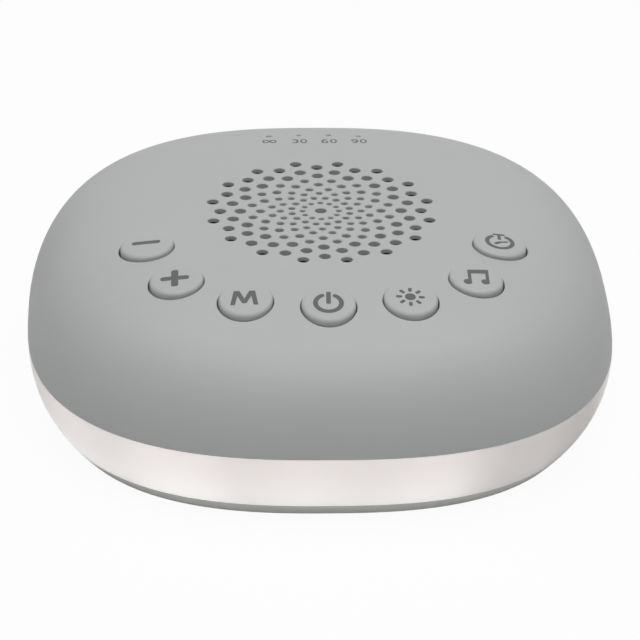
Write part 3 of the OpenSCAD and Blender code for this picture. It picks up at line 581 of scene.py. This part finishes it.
def build_base(material):
    """Tray with a stepped rim, screw bosses, board posts, and pockets in its underside."""
    floor_z = Z_BASE + BASE_WALL
    chamfer, chamfer_h = 0.6 * MM, 0.36 * MM
    rim = low_half(Z_BAND) - WALL - NEST
    lip_t, lip_h = 1.1 * MM, 1.5 * MM
    side = [(low_half(Z_BASE) - chamfer, Z_BASE, True)]
    side += [(low_half(z), z, False) for z in np.linspace(Z_BASE + chamfer_h, Z_BAND, 9)[:-1]]
    side += [(low_half(Z_BAND), Z_BAND, True), (rim, Z_BAND, False), (rim, Z_BAND + lip_h, True),
             (rim - lip_t, Z_BAND + lip_h, True), (rim - lip_t, floor_z, False)]
    # The chamfer starts after a ring on the flat underside, which its rounding needs
    start = (low_half(Z_BASE) - 4 * chamfer, Z_BASE, False)
    base = loft("base", rounded([start] + side, 0.35 * MM), material, closed=False)

    screw_high, post_high, usb_high = (
        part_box(node)[1] for node in ("case_screws", "main_board_screws", "usb_board_screws"))
    head_r, board_head_r, usb_head_r = 2.4 * MM, 2.0 * MM, 1.9 * MM
    screws = corners_of(screw_high.x - head_r, screw_high.y - head_r)
    posts = corners_of(post_high.x - board_head_r, post_high.y - board_head_r)
    usb = [(s * (usb_high.x - usb_head_r), usb_high.y - usb_head_r) for s in (-1, 1)]
    boss_z = floor_z + 3.6 * MM
    board_z, usb_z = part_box("main_board")[0].z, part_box("usb_board")[0].z
    beyond = 1 * MM
    below = Z_BASE - beyond
    # Where each kind stands, its radius, its bore's radius, its top, and the bore's lower end
    kinds = ((screws, 4.2 * MM, 1.45 * MM, boss_z, below),
             (posts, 2.6 * MM, 1.0 * MM, board_z, board_z - 3 * MM),
             (usb, 2.3 * MM, 1.0 * MM, usb_z, usb_z - 5 * MM))
    solid = [(x, y, r, floor_z - beyond, top) for places, r, _, top, _ in kinds for x, y in places]
    holes = [(x, y, r, low, top + beyond) for places, _, r, top, low in kinds for x, y in places]
    pockets = [(x, y, 2.8 * MM, below, Z_BASE + 3 * MM) for x, y in screws]
    for foot in FEET:
        low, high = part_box(foot)
        pockets.append((*middle(foot), (high.x - low.x) / 2 + 0.1 * MM, below, high.z))
    carve(base, rods("bosses", solid), "UNION")
    carve(base, rods("bores", holes), "DIFFERENCE")
    carve(base, rods("pockets", pockets), "DIFFERENCE")
    base.data.shade_smooth()
    base.data.set_sharp_from_angle(angle=math.radians(32))
    return base


FEET = tuple("rubber_foot_" + place
             for place in ("front_left", "front_right", "rear_left", "rear_right"))


def build_foot(node, material):
    """Rubber disc with a rounded rim and three fine moulded rings on its sole."""
    low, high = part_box(node)
    r = (high.x - low.x) / 2
    edge, groove = 0.35 * MM, 0.12 * MM
    profile = [(0, low.z)]
    for share in (0.25, 0.5, 0.75):
        profile += [(share * r - 2 * groove, low.z), (share * r, low.z + groove),
                    (share * r + 2 * groove, low.z)]
    profile += [(r - edge + edge * math.sin(a), low.z + edge - edge * math.cos(a))
                for a in np.radians(np.arange(0, 91, 15))]
    profile += [(r, high.z), (0, high.z)]
    return revolve(node.replace("rubber_", ""), profile, middle(node), material)


# -------------------- keys

def key_levels():
    """Heights that all keys share: collar, flange and stem."""
    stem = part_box("button_power")[0].z
    skirt = stem + STEM_DROP
    return {"stem": stem, "skirt": skirt, "flange": skirt + FLANGE_T,
            "collar": skirt + FLANGE_T + FLANGE_GAP}


def key_face(x, y):
    """Height of a key's face at its centre, and the face's slope: the dome's under most of it."""
    reach = 0.77 * KEY_R
    slope_x = (dome_z(x + reach, y) - dome_z(x - reach, y)) / (2 * reach)
    slope_y = (dome_z(x, y + reach) - dome_z(x, y - reach)) / (2 * reach)
    return float(dome_z(x, y)) + KEY_PROUD, float(slope_x), float(slope_y)


def key_crown(x, y):
    """Crown of a cap's face at a place on it."""
    return KEY_CROWN * (1 - (x * x + y * y) / (KEY_R - KEY_FILLET) ** 2)


def build_key(key, centre, material):
    """Cap with a rounded, tilted face, a retaining flange, and a hollow round its stem."""
    face, slope_x, slope_y = key_face(*centre)
    at = key_levels()
    roof = face - KEY_ROOF
    profile = [(0, at["stem"]), (STEM_R, at["stem"]), (STEM_R, roof), (KEY_R - KEY_WALL, roof),
               (KEY_R - KEY_WALL, at["skirt"]), (FLANGE_R, at["skirt"]),
               (FLANGE_R, at["flange"]), (KEY_R, at["flange"]), (KEY_R, face - 3 * KEY_FILLET)]
    flat_r = KEY_R - KEY_FILLET
    profile += [(flat_r + KEY_FILLET * math.cos(a), face - KEY_FILLET + KEY_FILLET * math.sin(a))
                for a in np.radians(np.arange(0, 91, 9))]
    profile += [(flat_r * s, face + key_crown(flat_r * s, 0))
                for s in (0.875, 0.75, 0.625, 0.5, 0.375, 0.25, 0.125, 0)]

    def lift(x, y, z):
        return slope_x * x + slope_y * y if z > face - 2 * KEY_FILLET else 0

    inward = -np.array(centre) / np.linalg.norm(centre)
    return revolve("key_" + key, profile, np.array(centre) + KEY_OFF * inward, material,
                   sides=128, lift=lift)


# -------------------- printed symbols

def arc_path(cx, cy, rx, ry, start, end, steps=24):
    """Points along an ellipse, from one angle to another in degrees."""
    turns = np.radians(np.linspace(start, end, steps + 1))
    return [(cx + rx * math.cos(a), cy + ry * math.sin(a)) for a in turns]


def stroke(path, width, round_ends=False):
    """Outline of a line of even width drawn along an open path."""
    p = np.array(path, float)
    along = np.gradient(p, axis=0)
    along /= np.linalg.norm(along, axis=1, keepdims=True)
    side = np.stack([-along[:, 1], along[:, 0]], -1) * width / 2
    right, left = p - side, (p + side)[::-1]
    if not round_ends:
        return np.concatenate([right, left])
    turns = np.radians(np.arange(15, 180, 15))[:, None]
    end = p[-1] - side[-1] * np.cos(turns) + along[-1] * np.sin(turns) * width / 2
    start = p[0] + side[0] * np.cos(turns) - along[0] * np.sin(turns) * width / 2
    return np.concatenate([right, end, left, start])


def loop_strokes(path, width):
    """A closed path as two strokes that meet."""
    half = len(path) // 2
    return [stroke(path[:half + 1], width), stroke(path[half:], width)]


def bar(start, end, width, corner):
    """Outline of a straight bar with rounded corners."""
    start, end = np.array(start, float), np.array(end, float)
    along = (end - start) / np.linalg.norm(end - start)
    side = np.array((-along[1], along[0]))
    points = []
    for tip, out, right in ((end, along, -side), (start, -along, side)):
        for across, turns in ((right, (0, 30, 60, 90)), (-right, (90, 60, 30, 0))):
            at = tip - out * corner + across * (width / 2 - corner)
            for a in np.radians(turns):
                points.append(at + corner * (across * math.cos(a) + out * math.sin(a)))
    return np.array(points)


def minus_symbol():
    return [bar((-2.8, 0), (2.8, 0), 1.2, 0.5)]


def plus_symbol():
    return [bar((-2.8, 0), (2.8, 0), 1.3, 0.5), bar((0, -2.8), (0, 2.8), 1.4, 0.45)]


def mode_symbol():
    """Capital M with splayed legs."""
    top, foot, tip = 2.15, -2.15, -1.67
    shapes = [[(-2.0, top), (-0.95, top), (0, -0.27), (0.95, top), (2.0, top),
               (0.4, tip), (-0.4, tip)]]
    shapes += [[(s * 2.7, foot), (s * 1.8, foot), (s * 1.1, top), (s * 2.07, top)]
               for s in (-1, 1)]
    return [np.array(shape) for shape in shapes]


def power_symbol():
    ring, width = 2.51, 0.94
    return [stroke(arc_path(0, 0, ring, ring, 120, 420, 48), width, round_ends=True),
            bar((0, -0.26), (0, 3.32), 0.9, 0.2)]


def light_symbol():
    """Sun with eight rays."""
    shapes = [np.array(arc_path(0, 0, 1.05, 1.05, 0, 345, 23))]
    for i in range(8):
        c, s = math.cos(i * math.pi / 4), math.sin(i * math.pi / 4)
        shapes.append(bar((1.6 * c, 1.6 * s), (2.8 * c, 2.8 * s), 0.7, 0.25))
    return shapes


def sound_symbol():
    """Two quavers under one beam, the right one a little higher."""
    shapes = [np.array([(-1.75, 2.26), (-1.75, 0.95), (2.39, 1.52), (2.39, 2.83)])]
    for x, y in ((-1.41, -1.93), (2.07, -1.48)):
        shapes.append(bar((x, y - 0.55), (x, y + 3.6), 0.66, 0.1))
        shapes.append(np.array(arc_path(x - 0.45, y, 0.84, 0.84, 0, 345, 23)))
    return shapes


def timer_symbol():
    """Stopwatch with a crown and two hands."""
    ring, width = 2.52, 0.86
    return [stroke(arc_path(0, 0, ring, ring, 125, 415, 48), width, round_ends=True),
            bar((-1.2, 3.0), (1.2, 3.0), 0.62, 0.1), bar((0, 0.9), (0, 3.0), 0.66, 0.1),
            bar((-1.05, -0.95), (0.05, -0.1), 0.75, 0.2),
            bar((-0.35, -0.25), (1.65, 0.3), 0.5, 0.15)]


# Each key's symbol, how many millimetres off the key's centre it is printed, and its turn
SYMBOLS = {"minus": (minus_symbol, (-0.08, 0.4), -2), "plus": (plus_symbol, (-0.29, 0), -1),
           "mode": (mode_symbol, (-0.22, -0.05), -1.5), "power": (power_symbol, (-0.07, -0.15), -2),
           "light": (light_symbol, (-0.17, 0), -0.5), "sound": (sound_symbol, (0, -0.08), 0),
           "timer": (timer_symbol, (-0.08, 0.05), 0)}

DIGIT_RX, DIGIT_RY, DIGIT_LINE = 0.56, 0.97, 0.34


def digit_strokes(digit):
    rx, ry = DIGIT_RX, DIGIT_RY
    bowl = 0.54 * ry
    if digit == "0":
        return loop_strokes(arc_path(0, 0, rx, ry, 0, 360), DIGIT_LINE)
    if digit == "3":
        return [stroke(arc_path(0, s * (ry - bowl * 0.95), rx, bowl * 0.95, s * 150, -s * 90),
                       DIGIT_LINE) for s in (1, -1)]
    ring = loop_strokes(arc_path(0, bowl - ry, rx, bowl, 0, 360), DIGIT_LINE)
    six = ring + [stroke(arc_path(0.1, -0.25 * ry, rx + 0.1, 1.25 * ry, 62, 170), DIGIT_LINE)]
    return six if digit == "6" else [-shape for shape in six]


def number_strokes(text):
    pitch = 2 * DIGIT_RX + DIGIT_LINE + 0.34
    return [shape + [(i - (len(text) - 1) / 2) * pitch, 0]
            for i, digit in enumerate(text) for shape in digit_strokes(digit)]


def endless_strokes():
    """Lying figure of eight."""
    shapes = []
    for turn in (-0.5, 0, 0.5, 1):
        t = np.linspace(turn, turn + 0.5, 17) * math.pi
        scale = 1 / (1 + np.sin(t) ** 2)
        path = np.stack([1.3 * np.cos(t) * scale, 2.1 * np.sin(t) * np.cos(t) * scale], -1)
        shapes.append(stroke(path, 0.36))
    return shapes


TIMER_LABELS = {"endless": endless_strokes(),
                **{text: number_strokes(text) for text in ("30", "60", "90")}}
LABEL_Y = 33.5 * MM
INK_PROUD = 0.015 * MM
INK_SUNK = 0.03 * MM


def fine_outline(shape, step=0.4):
    """An outline run anticlockwise, with points added so that it follows a crowned face."""
    x, y = shape[:, 0], shape[:, 1]
    if np.sum(x * np.roll(y, -1) - np.roll(x, -1) * y) < 0:
        shape = shape[::-1]
    points = []
    for a, b in zip(shape, np.roll(shape, -1, axis=0)):
        count = max(1, math.ceil(np.linalg.norm(b - a) / step))
        points += [a + (b - a) * i / count for i in range(count)]
    return np.array(points)


def print_on(name, shapes, centre, height, material):
    """Layer of ink: the union of flat outlines in millimetres, laid on the height of a face."""
    shapes = [fine_outline(shape) for shape in shapes]
    points = np.concatenate(shapes) * MM
    starts = np.cumsum([0] + [len(s) for s in shapes])
    outlines = [list(range(a, b)) for a, b in zip(starts[:-1], starts[1:])]
    got = geometry.delaunay_2d_cdt([Vector(p / MM) for p in points], [], outlines, 0, 1e-6)
    flat = np.array([tuple(v) for v in got[0]]) * MM + centre
    used, triangles = renumber([face for face, inputs in zip(got[2], got[5]) if inputs])
    flat = flat[used]
    z = height(flat[:, 0], flat[:, 1])
    verts = np.concatenate([np.column_stack([flat, z + up]) for up in (INK_PROUD, -INK_SUNK)])
    n = len(flat)
    rims = {(a, b) for f in triangles for a, b in zip(f, f[1:] + f[:1])}
    walls = [(b, a, a + n, b + n) for a, b in rims if (b, a) not in rims]
    bottom = [tuple(i + n for i in face[::-1]) for face in triangles]
    return new_object(name, verts, triangles + bottom + sorted(walls), material)


# -------------------- materials

def linear(values):
    """Linear colour of an sRGB one given from 0 to 255."""
    v = np.array(values) / 255
    return np.where(v <= 0.04045, v / 12.92, ((v + 0.055) / 1.055) ** 2.4)


ROUGHNESS_DRIFT = 0.05
GRAIN_STRENGTH = 0.5
ONE_WAVE = 2 * math.pi / 20              # scale at which a wave texture repeats once per metre


def feed(tree, node, inputs):
    """Sets a shader node's inputs, each linked to a socket or given a value."""
    for name, value in inputs.items():
        if isinstance(value, bpy.types.NodeSocket):
            tree.links.new(value, node.inputs[name])
        else:
            node.inputs[name].default_value = value


def wire(tree, kind, inputs, output=0, **settings):
    """Adds a shader node with its settings and inputs, and gives one of its outputs."""
    node = tree.nodes.new(kind)
    for name, value in settings.items():
        setattr(node, name, value)
    feed(tree, node, inputs)
    return node.outputs[output]


def maths(tree, operation, *values):
    return wire(tree, "ShaderNodeMath", dict(enumerate(values)), operation=operation)


def mix_colours(tree, share, low, high):
    # The node has these sockets for colours, and others for numbers and vectors
    return wire(tree, "ShaderNodeMix", {0: share, 6: low, 7: high}, 2, data_type="RGBA")


def surface(name, colour, roughness, variation, patch=18 * MM, grain=0.4 * MM,
            depth=0.004 * MM, **sockets):
    """Principled material in object space: its colour and roughness drift softly over patches,
    and a fine grain lies in its normal. Further sockets are set to constants."""
    material = bpy.data.materials.new(name)
    material.use_nodes = True
    tree = material.node_tree
    place = wire(tree, "ShaderNodeTexCoord", {}, "Object")

    def noise(size, detail):
        return wire(tree, "ShaderNodeTexNoise",
                    {"Vector": place, "Scale": 1 / size, "Detail": detail}, "Fac")

    def shade(factor):
        return tuple(min(1, c * factor) for c in linear(colour)) + (1,)

    tint = mix_colours(tree, noise(patch, 3), shade(1 - variation), shade(1 + variation))
    polish = wire(tree, "ShaderNodeMapRange", {"Value": noise(patch / 6, 4),
                                               "To Min": max(0, roughness - ROUGHNESS_DRIFT),
                                               "To Max": min(1, roughness + ROUGHNESS_DRIFT)},
                  "Result")
    bump = wire(tree, "ShaderNodeBump", {"Height": noise(grain, 2), "Distance": depth,
                                         "Strength": GRAIN_STRENGTH}, "Normal")
    feed(tree, tree.nodes["Principled BSDF"],
         {"Base Color": tint, "Roughness": polish, "Normal": bump,
          **{socket.replace("_", " "): value for socket, value in sockets.items()}})
    return material


def waves(material, axes, pitch, depth):
    """Replaces the grain of a material by fine waves along one axis, or woven along two."""
    tree = material.node_tree
    place = tree.nodes["Texture Coordinate"].outputs["Object"]
    heights = [wire(tree, "ShaderNodeTexWave", {"Vector": place, "Scale": ONE_WAVE / pitch},
                    "Fac", bands_direction=axis) for axis in axes]
    height = heights[0] if len(axes) == 1 else maths(tree, "MAXIMUM", *heights)
    feed(tree, tree.nodes["Bump"], {"Height": height, "Distance": depth})


def glow_and_painted_light(material):
    """Lets the diffuser give off light, partly its own and partly painted light: a colour that
    turns dimmer and warmer towards the top as painted shade under the shell's edge, strongest at
    the front as painted light, dim round one corner as painted shade, and with a slight ripple from
    the row of lamps inside."""
    tree = material.node_tree
    place = tree.nodes["Texture Coordinate"].outputs["Object"]
    flat = wire(tree, "ShaderNodeVectorMath", {0: place, 1: (1, 1, 0)}, operation="MULTIPLY")
    outward = wire(tree, "ShaderNodeVectorMath", {0: flat}, operation="NORMALIZE")

    def smooth_step(value, low, high):
        return wire(tree, "ShaderNodeMapRange", {"Value": value, "From Min": low, "From Max": high},
                    "Result", interpolation_type="SMOOTHSTEP")

    def lobe(*degrees):
        """1 within an angle of a direction, falling to 0 at another."""
        facing, full, none = np.radians(degrees).tolist()
        way = (math.cos(facing), math.sin(facing), 0)
        along = wire(tree, "ShaderNodeVectorMath", {0: outward, 1: way}, "Value",
                     operation="DOT_PRODUCT")
        return smooth_step(along, math.cos(none), math.cos(full))

    split = tree.nodes.new("ShaderNodeSeparateXYZ")
    feed(tree, split, {0: place})
    angle = maths(tree, "ARCTAN2", split.outputs["Y"], split.outputs["X"])
    turns = maths(tree, "MULTIPLY_ADD", angle, LAMPS_SEEN, LAMPS_SEEN * math.radians(LAMP_PLACE))
    share = maths(tree, "MULTIPLY_ADD", maths(tree, "COSINE", turns), RIPPLE, GLOW_SHARE)
    # Brighter towards the front as painted light, dimmer round one corner as painted shade
    for facing, full, none, amount in PAINTED_LIGHT_AND_SHADE_LOBES:
        share = maths(tree, "MULTIPLY_ADD", lobe(facing, full, none), amount, share)
    # Dimmer and warmer towards the top: painted shade under the shell's edge
    colour = mix_colours(tree, smooth_step(split.outputs["Z"], Z_BAND, Z_EDGE),
                         GLOW_LOW, GLOW_TOP_PAINTED_SHADE)
    light_with_painted_light = wire(tree, "ShaderNodeVectorMath", {0: colour, "Scale": share}, operation="SCALE")
    feed(tree, tree.nodes["Principled BSDF"], {"Emission Color": light_with_painted_light, "Emission Strength": 1})


SHELL_GREY = KEY_GREY = (182, 184, 183)
BAND_WHITE = (238, 232, 229)
# The base is painted lighter than the shell's grey: painted light for the light bounced up onto its
# downward rim
BASE_GREY_WITH_PAINTED_LIGHT = (214, 215, 211)
INK_GREY = (84, 86, 86)
# The diffuser's light is partly its own and partly painted: its top is darker as painted shade
# under the shell's edge
GLOW_LOW = (0.36, 0.365, 0.37, 1)        # light of the diffuser low down, and at the top with painted shade
GLOW_TOP_PAINTED_SHADE = (0.29, 0.27, 0.27, 1)
GLOW_SHARE = 0.5                         # how much of it shines where no lobe adds or takes any
LAMPS_SEEN = 15                          # bright places in the ring of light
LAMP_PLACE = 119                         # turns them, in degrees
RIPPLE = 0.07                            # how far the share swings from lamp to lamp
# Painted light and shade: brighter towards the front and front left, dimmer round the front right
# corner; direction, degrees from it where full and none, amount
PAINTED_LIGHT_AND_SHADE_LOBES = ((-103, 29, 66, 0.5), (-119, 2, 13, 0.18), (-45, 7, 22, -0.45))


def make_finishes():
    """One material for each slot of the record."""
    made = {}

    def add(name, *values, **more):
        made[name] = surface(name, *values, **more)
        return made[name]

    add("shell_plastic", SHELL_GREY, 0.5, 0.012)
    add("key_plastic", KEY_GREY, 0.48, 0.012)
    # The diffuser's light is partly its own and partly painted light and shade
    glow_and_painted_light(add("diffuser_plastic", BAND_WHITE, 0.4, 0.01, depth=0.002 * MM, Subsurface_Weight=0.35,
             Subsurface_Radius=(1.0, 0.85, 0.75), Subsurface_Scale=2.5 * MM))
    add("base_plastic", BASE_GREY_WITH_PAINTED_LIGHT, 0.52, 0.015)
    add("foot_rubber", (52, 52, 54), 0.8, 0.1, grain=0.25 * MM)
    add("white_plastic", (240, 240, 236), 0.35, 0.01)
    add("flex_circuit", (236, 230, 214), 0.5, 0.04, patch=4 * MM)
    add("led_resin", (240, 214, 120), 0.25, 0.05, patch=1 * MM)
    add("black_plastic", (34, 34, 37), 0.45, 0.08)
    add("circuit_board", (24, 96, 58), 0.35, 0.18, patch=5 * MM, grain=0.8 * MM, depth=0.02 * MM,
        Coat_Weight=0.4)
    add("screw_steel", (190, 192, 196), 0.32, 0.06, patch=2 * MM, Metallic=1.0)
    add("plated_steel", (205, 206, 210), 0.25, 0.05, patch=3 * MM, Metallic=1.0)
    add("clear_plastic", (226, 236, 240), 0.12, 0.02, Transmission_Weight=0.7, IOR=1.49)
    waves(add("black_mesh", (46, 47, 48), 0.85, 0.04, patch=3 * MM), "XY", 0.3 * MM, 0.04 * MM)
    add("foam", (48, 48, 50), 0.95, 0.15, patch=1 * MM, grain=0.3 * MM, depth=0.06 * MM)
    add("soft_rubber", (30, 30, 31), 0.6, 0.08)
    add("black_paper", (42, 42, 43), 0.85, 0.15, patch=2 * MM, grain=0.3 * MM, depth=0.03 * MM)
    waves(add("copper_wire", (196, 118, 62), 0.3, 0.08, Metallic=1.0), "Z", 0.18 * MM, 0.05 * MM)
    waves(add("woven_cloth", (196, 166, 104), 0.8, 0.08, patch=2 * MM), "XY", 0.5 * MM, 0.08 * MM)
    add("ferrite", (62, 62, 66), 0.6, 0.12, patch=3 * MM, grain=0.5 * MM, depth=0.03 * MM)
    add("fibre_board", (150, 112, 62), 0.7, 0.12, patch=2 * MM)
    add("wire_insulation", (120, 34, 34), 0.5, 0.04)
    add("can_sleeve", (196, 198, 204), 0.35, 0.05, Metallic=0.9)
    return made


# -------------------- the object

finishes = make_finishes()
ink = surface("ink", INK_GREY, 0.55, 0.03, patch=2 * MM, grain=0.2 * MM)

for part in frame["record"]["subparts"]:
    node = frame["nodes"][part["node"]]
    node.data.materials.clear()
    node.data.materials.append(finishes[part["material_slot"]])


def seat(piece, body, slot, *nodes):
    """Puts a finished piece on its body and hides the nodes it stands for; the slot is not used."""
    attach(piece, body)
    if nodes:
        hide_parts(*nodes)


seat(build_shell(finishes["shell_plastic"]), "housing", "shell_plastic", "top_shell")
seat(build_band(finishes["diffuser_plastic"]), "housing", "diffuser_plastic", "diffuser_band")
seat(build_base(finishes["base_plastic"]), "housing", "base_plastic", "base_cover")
for foot in FEET:
    seat(build_foot(foot, finishes["foot_rubber"]), "housing", "foot_rubber", foot)

for key, centre in KEY_PLACES.items():
    seat(build_key(key, centre, finishes["key_plastic"]), key + "_key", "key_plastic",
         "button_" + key)
    face, slope_x, slope_y = key_face(*centre)

    def key_top(x, y):
        x, y = x - centre[0], y - centre[1]
        return face + slope_x * x + slope_y * y + key_crown(x, y)

    symbol, off, turn = SYMBOLS[key]
    c, s = math.cos(math.radians(turn)), math.sin(math.radians(turn))
    shapes = [shape @ np.array([(c, s), (-s, c)]) + off for shape in symbol()]
    seat(print_on("symbol_" + key, shapes, centre, key_top, ink), key + "_key", "key_plastic")

for i, (label, shapes) in enumerate(TIMER_LABELS.items()):
    at = ((i - 1.5) * PIN_PITCH, LABEL_Y)
    seat(print_on("label_" + label, shapes, at, dome_z, ink), "housing", "shell_plastic")


def bend_ring(node, slot, sectors=16):
    """Cuts a soft ring of the speaker into sectors, each a piece of its own, and hides the ring's
    node."""
    mesh = frame["nodes"][node].data
    verts = np.array([tuple(v.co) for v in mesh.vertices])
    parts = [[] for _ in range(sectors)]
    for face in mesh.polygons:
        x, y = verts[list(face.vertices), :2].mean(axis=0)
        turn = math.atan2(y, x) / (2 * math.pi) % 1
        parts[int(turn * sectors)].append(tuple(face.vertices))
    for i, a in enumerate(angles(sectors, 0.5)):
        used, faces = renumber(parts[i])
        piece = new_object(node + "_" + str(i + 1), verts[used], faces, finishes[slot], 40)
        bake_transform(piece)
        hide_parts(node)


bend_ring("speaker_surround", "soft_rubber")
bend_ring("speaker_spider", "woven_cloth")


# -------------------- floor, light and camera

WORLD_LIGHT = 0.06                       # strength of the white surroundings as a light
SEEN_WHITE = 1.0                         # their strength as the camera sees them
WHITE = (1, 1, 1, 1)
FLOOR_MATTE = (0.82, 0.82, 0.82, 1)
FLOOR_GLOW = 0.95                        # share of plain white in the floor as it is seen
FLOOR_HALF = 3.0                         # half its width, in metres
FLOOR_Z = -0.02 * MM                     # just clear of the feet's soles
# Soft boxes that face the object: place and width in metres, watts
LIGHTS = {"top_light": ((0, 0, 1.2), 1.2, 6.1), "left_light": ((-0.7, 0, 1.0), 0.8, 2.2),
          "right_light": ((0.7, 0, 1.0), 0.8, 2.9), "front_light": ((0, -0.7, 1.0), 0.6, 3.4)}


def ray_is(tree, *kinds):
    """Socket that is 1 on rays of any of the given kinds."""
    path = tree.nodes.new("ShaderNodeLightPath")
    value = path.outputs[kinds[0]]
    for kind in kinds[1:]:
        value = maths(tree, "MAXIMUM", value, path.outputs[kind])
    return value


def mix_shaders(tree, share, first, second, output):
    """Shader between two others, led to the output node of its tree."""
    mix = wire(tree, "ShaderNodeMixShader", {0: share, 1: first, 2: second})
    feed(tree, tree.nodes[output], {"Surface": mix})


def make_world():
    world = bpy.data.worlds.new("surroundings")
    world.use_nodes = True
    tree = world.node_tree
    lit = tree.nodes["Background"]
    feed(tree, lit, {"Color": WHITE, "Strength": WORLD_LIGHT})
    seen = wire(tree, "ShaderNodeBackground", {"Color": WHITE, "Strength": SEEN_WHITE})
    share = ray_is(tree, "Is Camera Ray", "Is Glossy Ray", "Is Transmission Ray")
    mix_shaders(tree, share, lit.outputs[0], seen, "World Output")
    bpy.context.scene.world = world


def make_floor():
    material = bpy.data.materials.new("floor")
    material.use_nodes = True
    tree = material.node_tree
    tree.nodes.remove(tree.nodes["Principled BSDF"])
    matte = wire(tree, "ShaderNodeBsdfDiffuse", {"Color": FLOOR_MATTE})
    white = wire(tree, "ShaderNodeEmission", {"Strength": SEEN_WHITE})
    share = maths(tree, "MULTIPLY", ray_is(tree, "Is Camera Ray"), FLOOR_GLOW)
    mix_shaders(tree, share, matte, white, "Material Output")
    corners = [(x * FLOOR_HALF, y * FLOOR_HALF, FLOOR_Z)
               for x, y in ((-1, -1), (1, -1), (1, 1), (-1, 1))]
    floor = new_object("floor", corners, [(0, 1, 2, 3)], material)


def area_light(name, place, size, power):
    lamp = bpy.data.lights.new(name, "AREA")
    lamp.size = size
    lamp.energy = power
    lamp_object = bpy.data.objects.new(name, lamp)
    lamp_object.location = place
    target = Vector((0, 0, Z_EDGE))
    lamp_object.rotation_euler = (target - Vector(place)).to_track_quat("-Z", "Y").to_euler()
    bpy.context.scene.collection.objects.link(lamp_object)


def make_camera():
    """Camera of the photograph: a long lens from the front, 28 degrees above the table."""
    elevation, azimuth, roll = (math.radians(a) for a in (27.7578, -2.75, 0.99987))
    focal_px, frame_px, sensor = 4161.4, 640, 36.0
    shift_x, shift_y, distance = -0.4769 * MM, -13.5086 * MM, 853.596 * MM
    camera = bpy.data.cameras.new("camera")
    camera.sensor_width = sensor
    camera.lens = focal_px / frame_px * sensor
    camera.clip_start, camera.clip_end = 0.01, 20
    holder = bpy.data.objects.new("camera", camera)
    holder.matrix_world = (Matrix.Translation((0, 0, Z_BASE)) @ Matrix.Rotation(azimuth, 4, "Z")
                           @ Matrix.Rotation(math.pi / 2 - elevation, 4, "X")
                           @ Matrix.Rotation(roll, 4, "Z")
                           @ Matrix.Translation((-shift_x, -shift_y, distance)))
    bpy.context.scene.collection.objects.link(holder)
    bpy.context.scene.camera = holder


make_world()
make_floor()
for name, (place, size, power) in LIGHTS.items():
    area_light(name, place, size, power)
make_camera()
bpy.context.scene.view_settings.view_transform = "Standard"
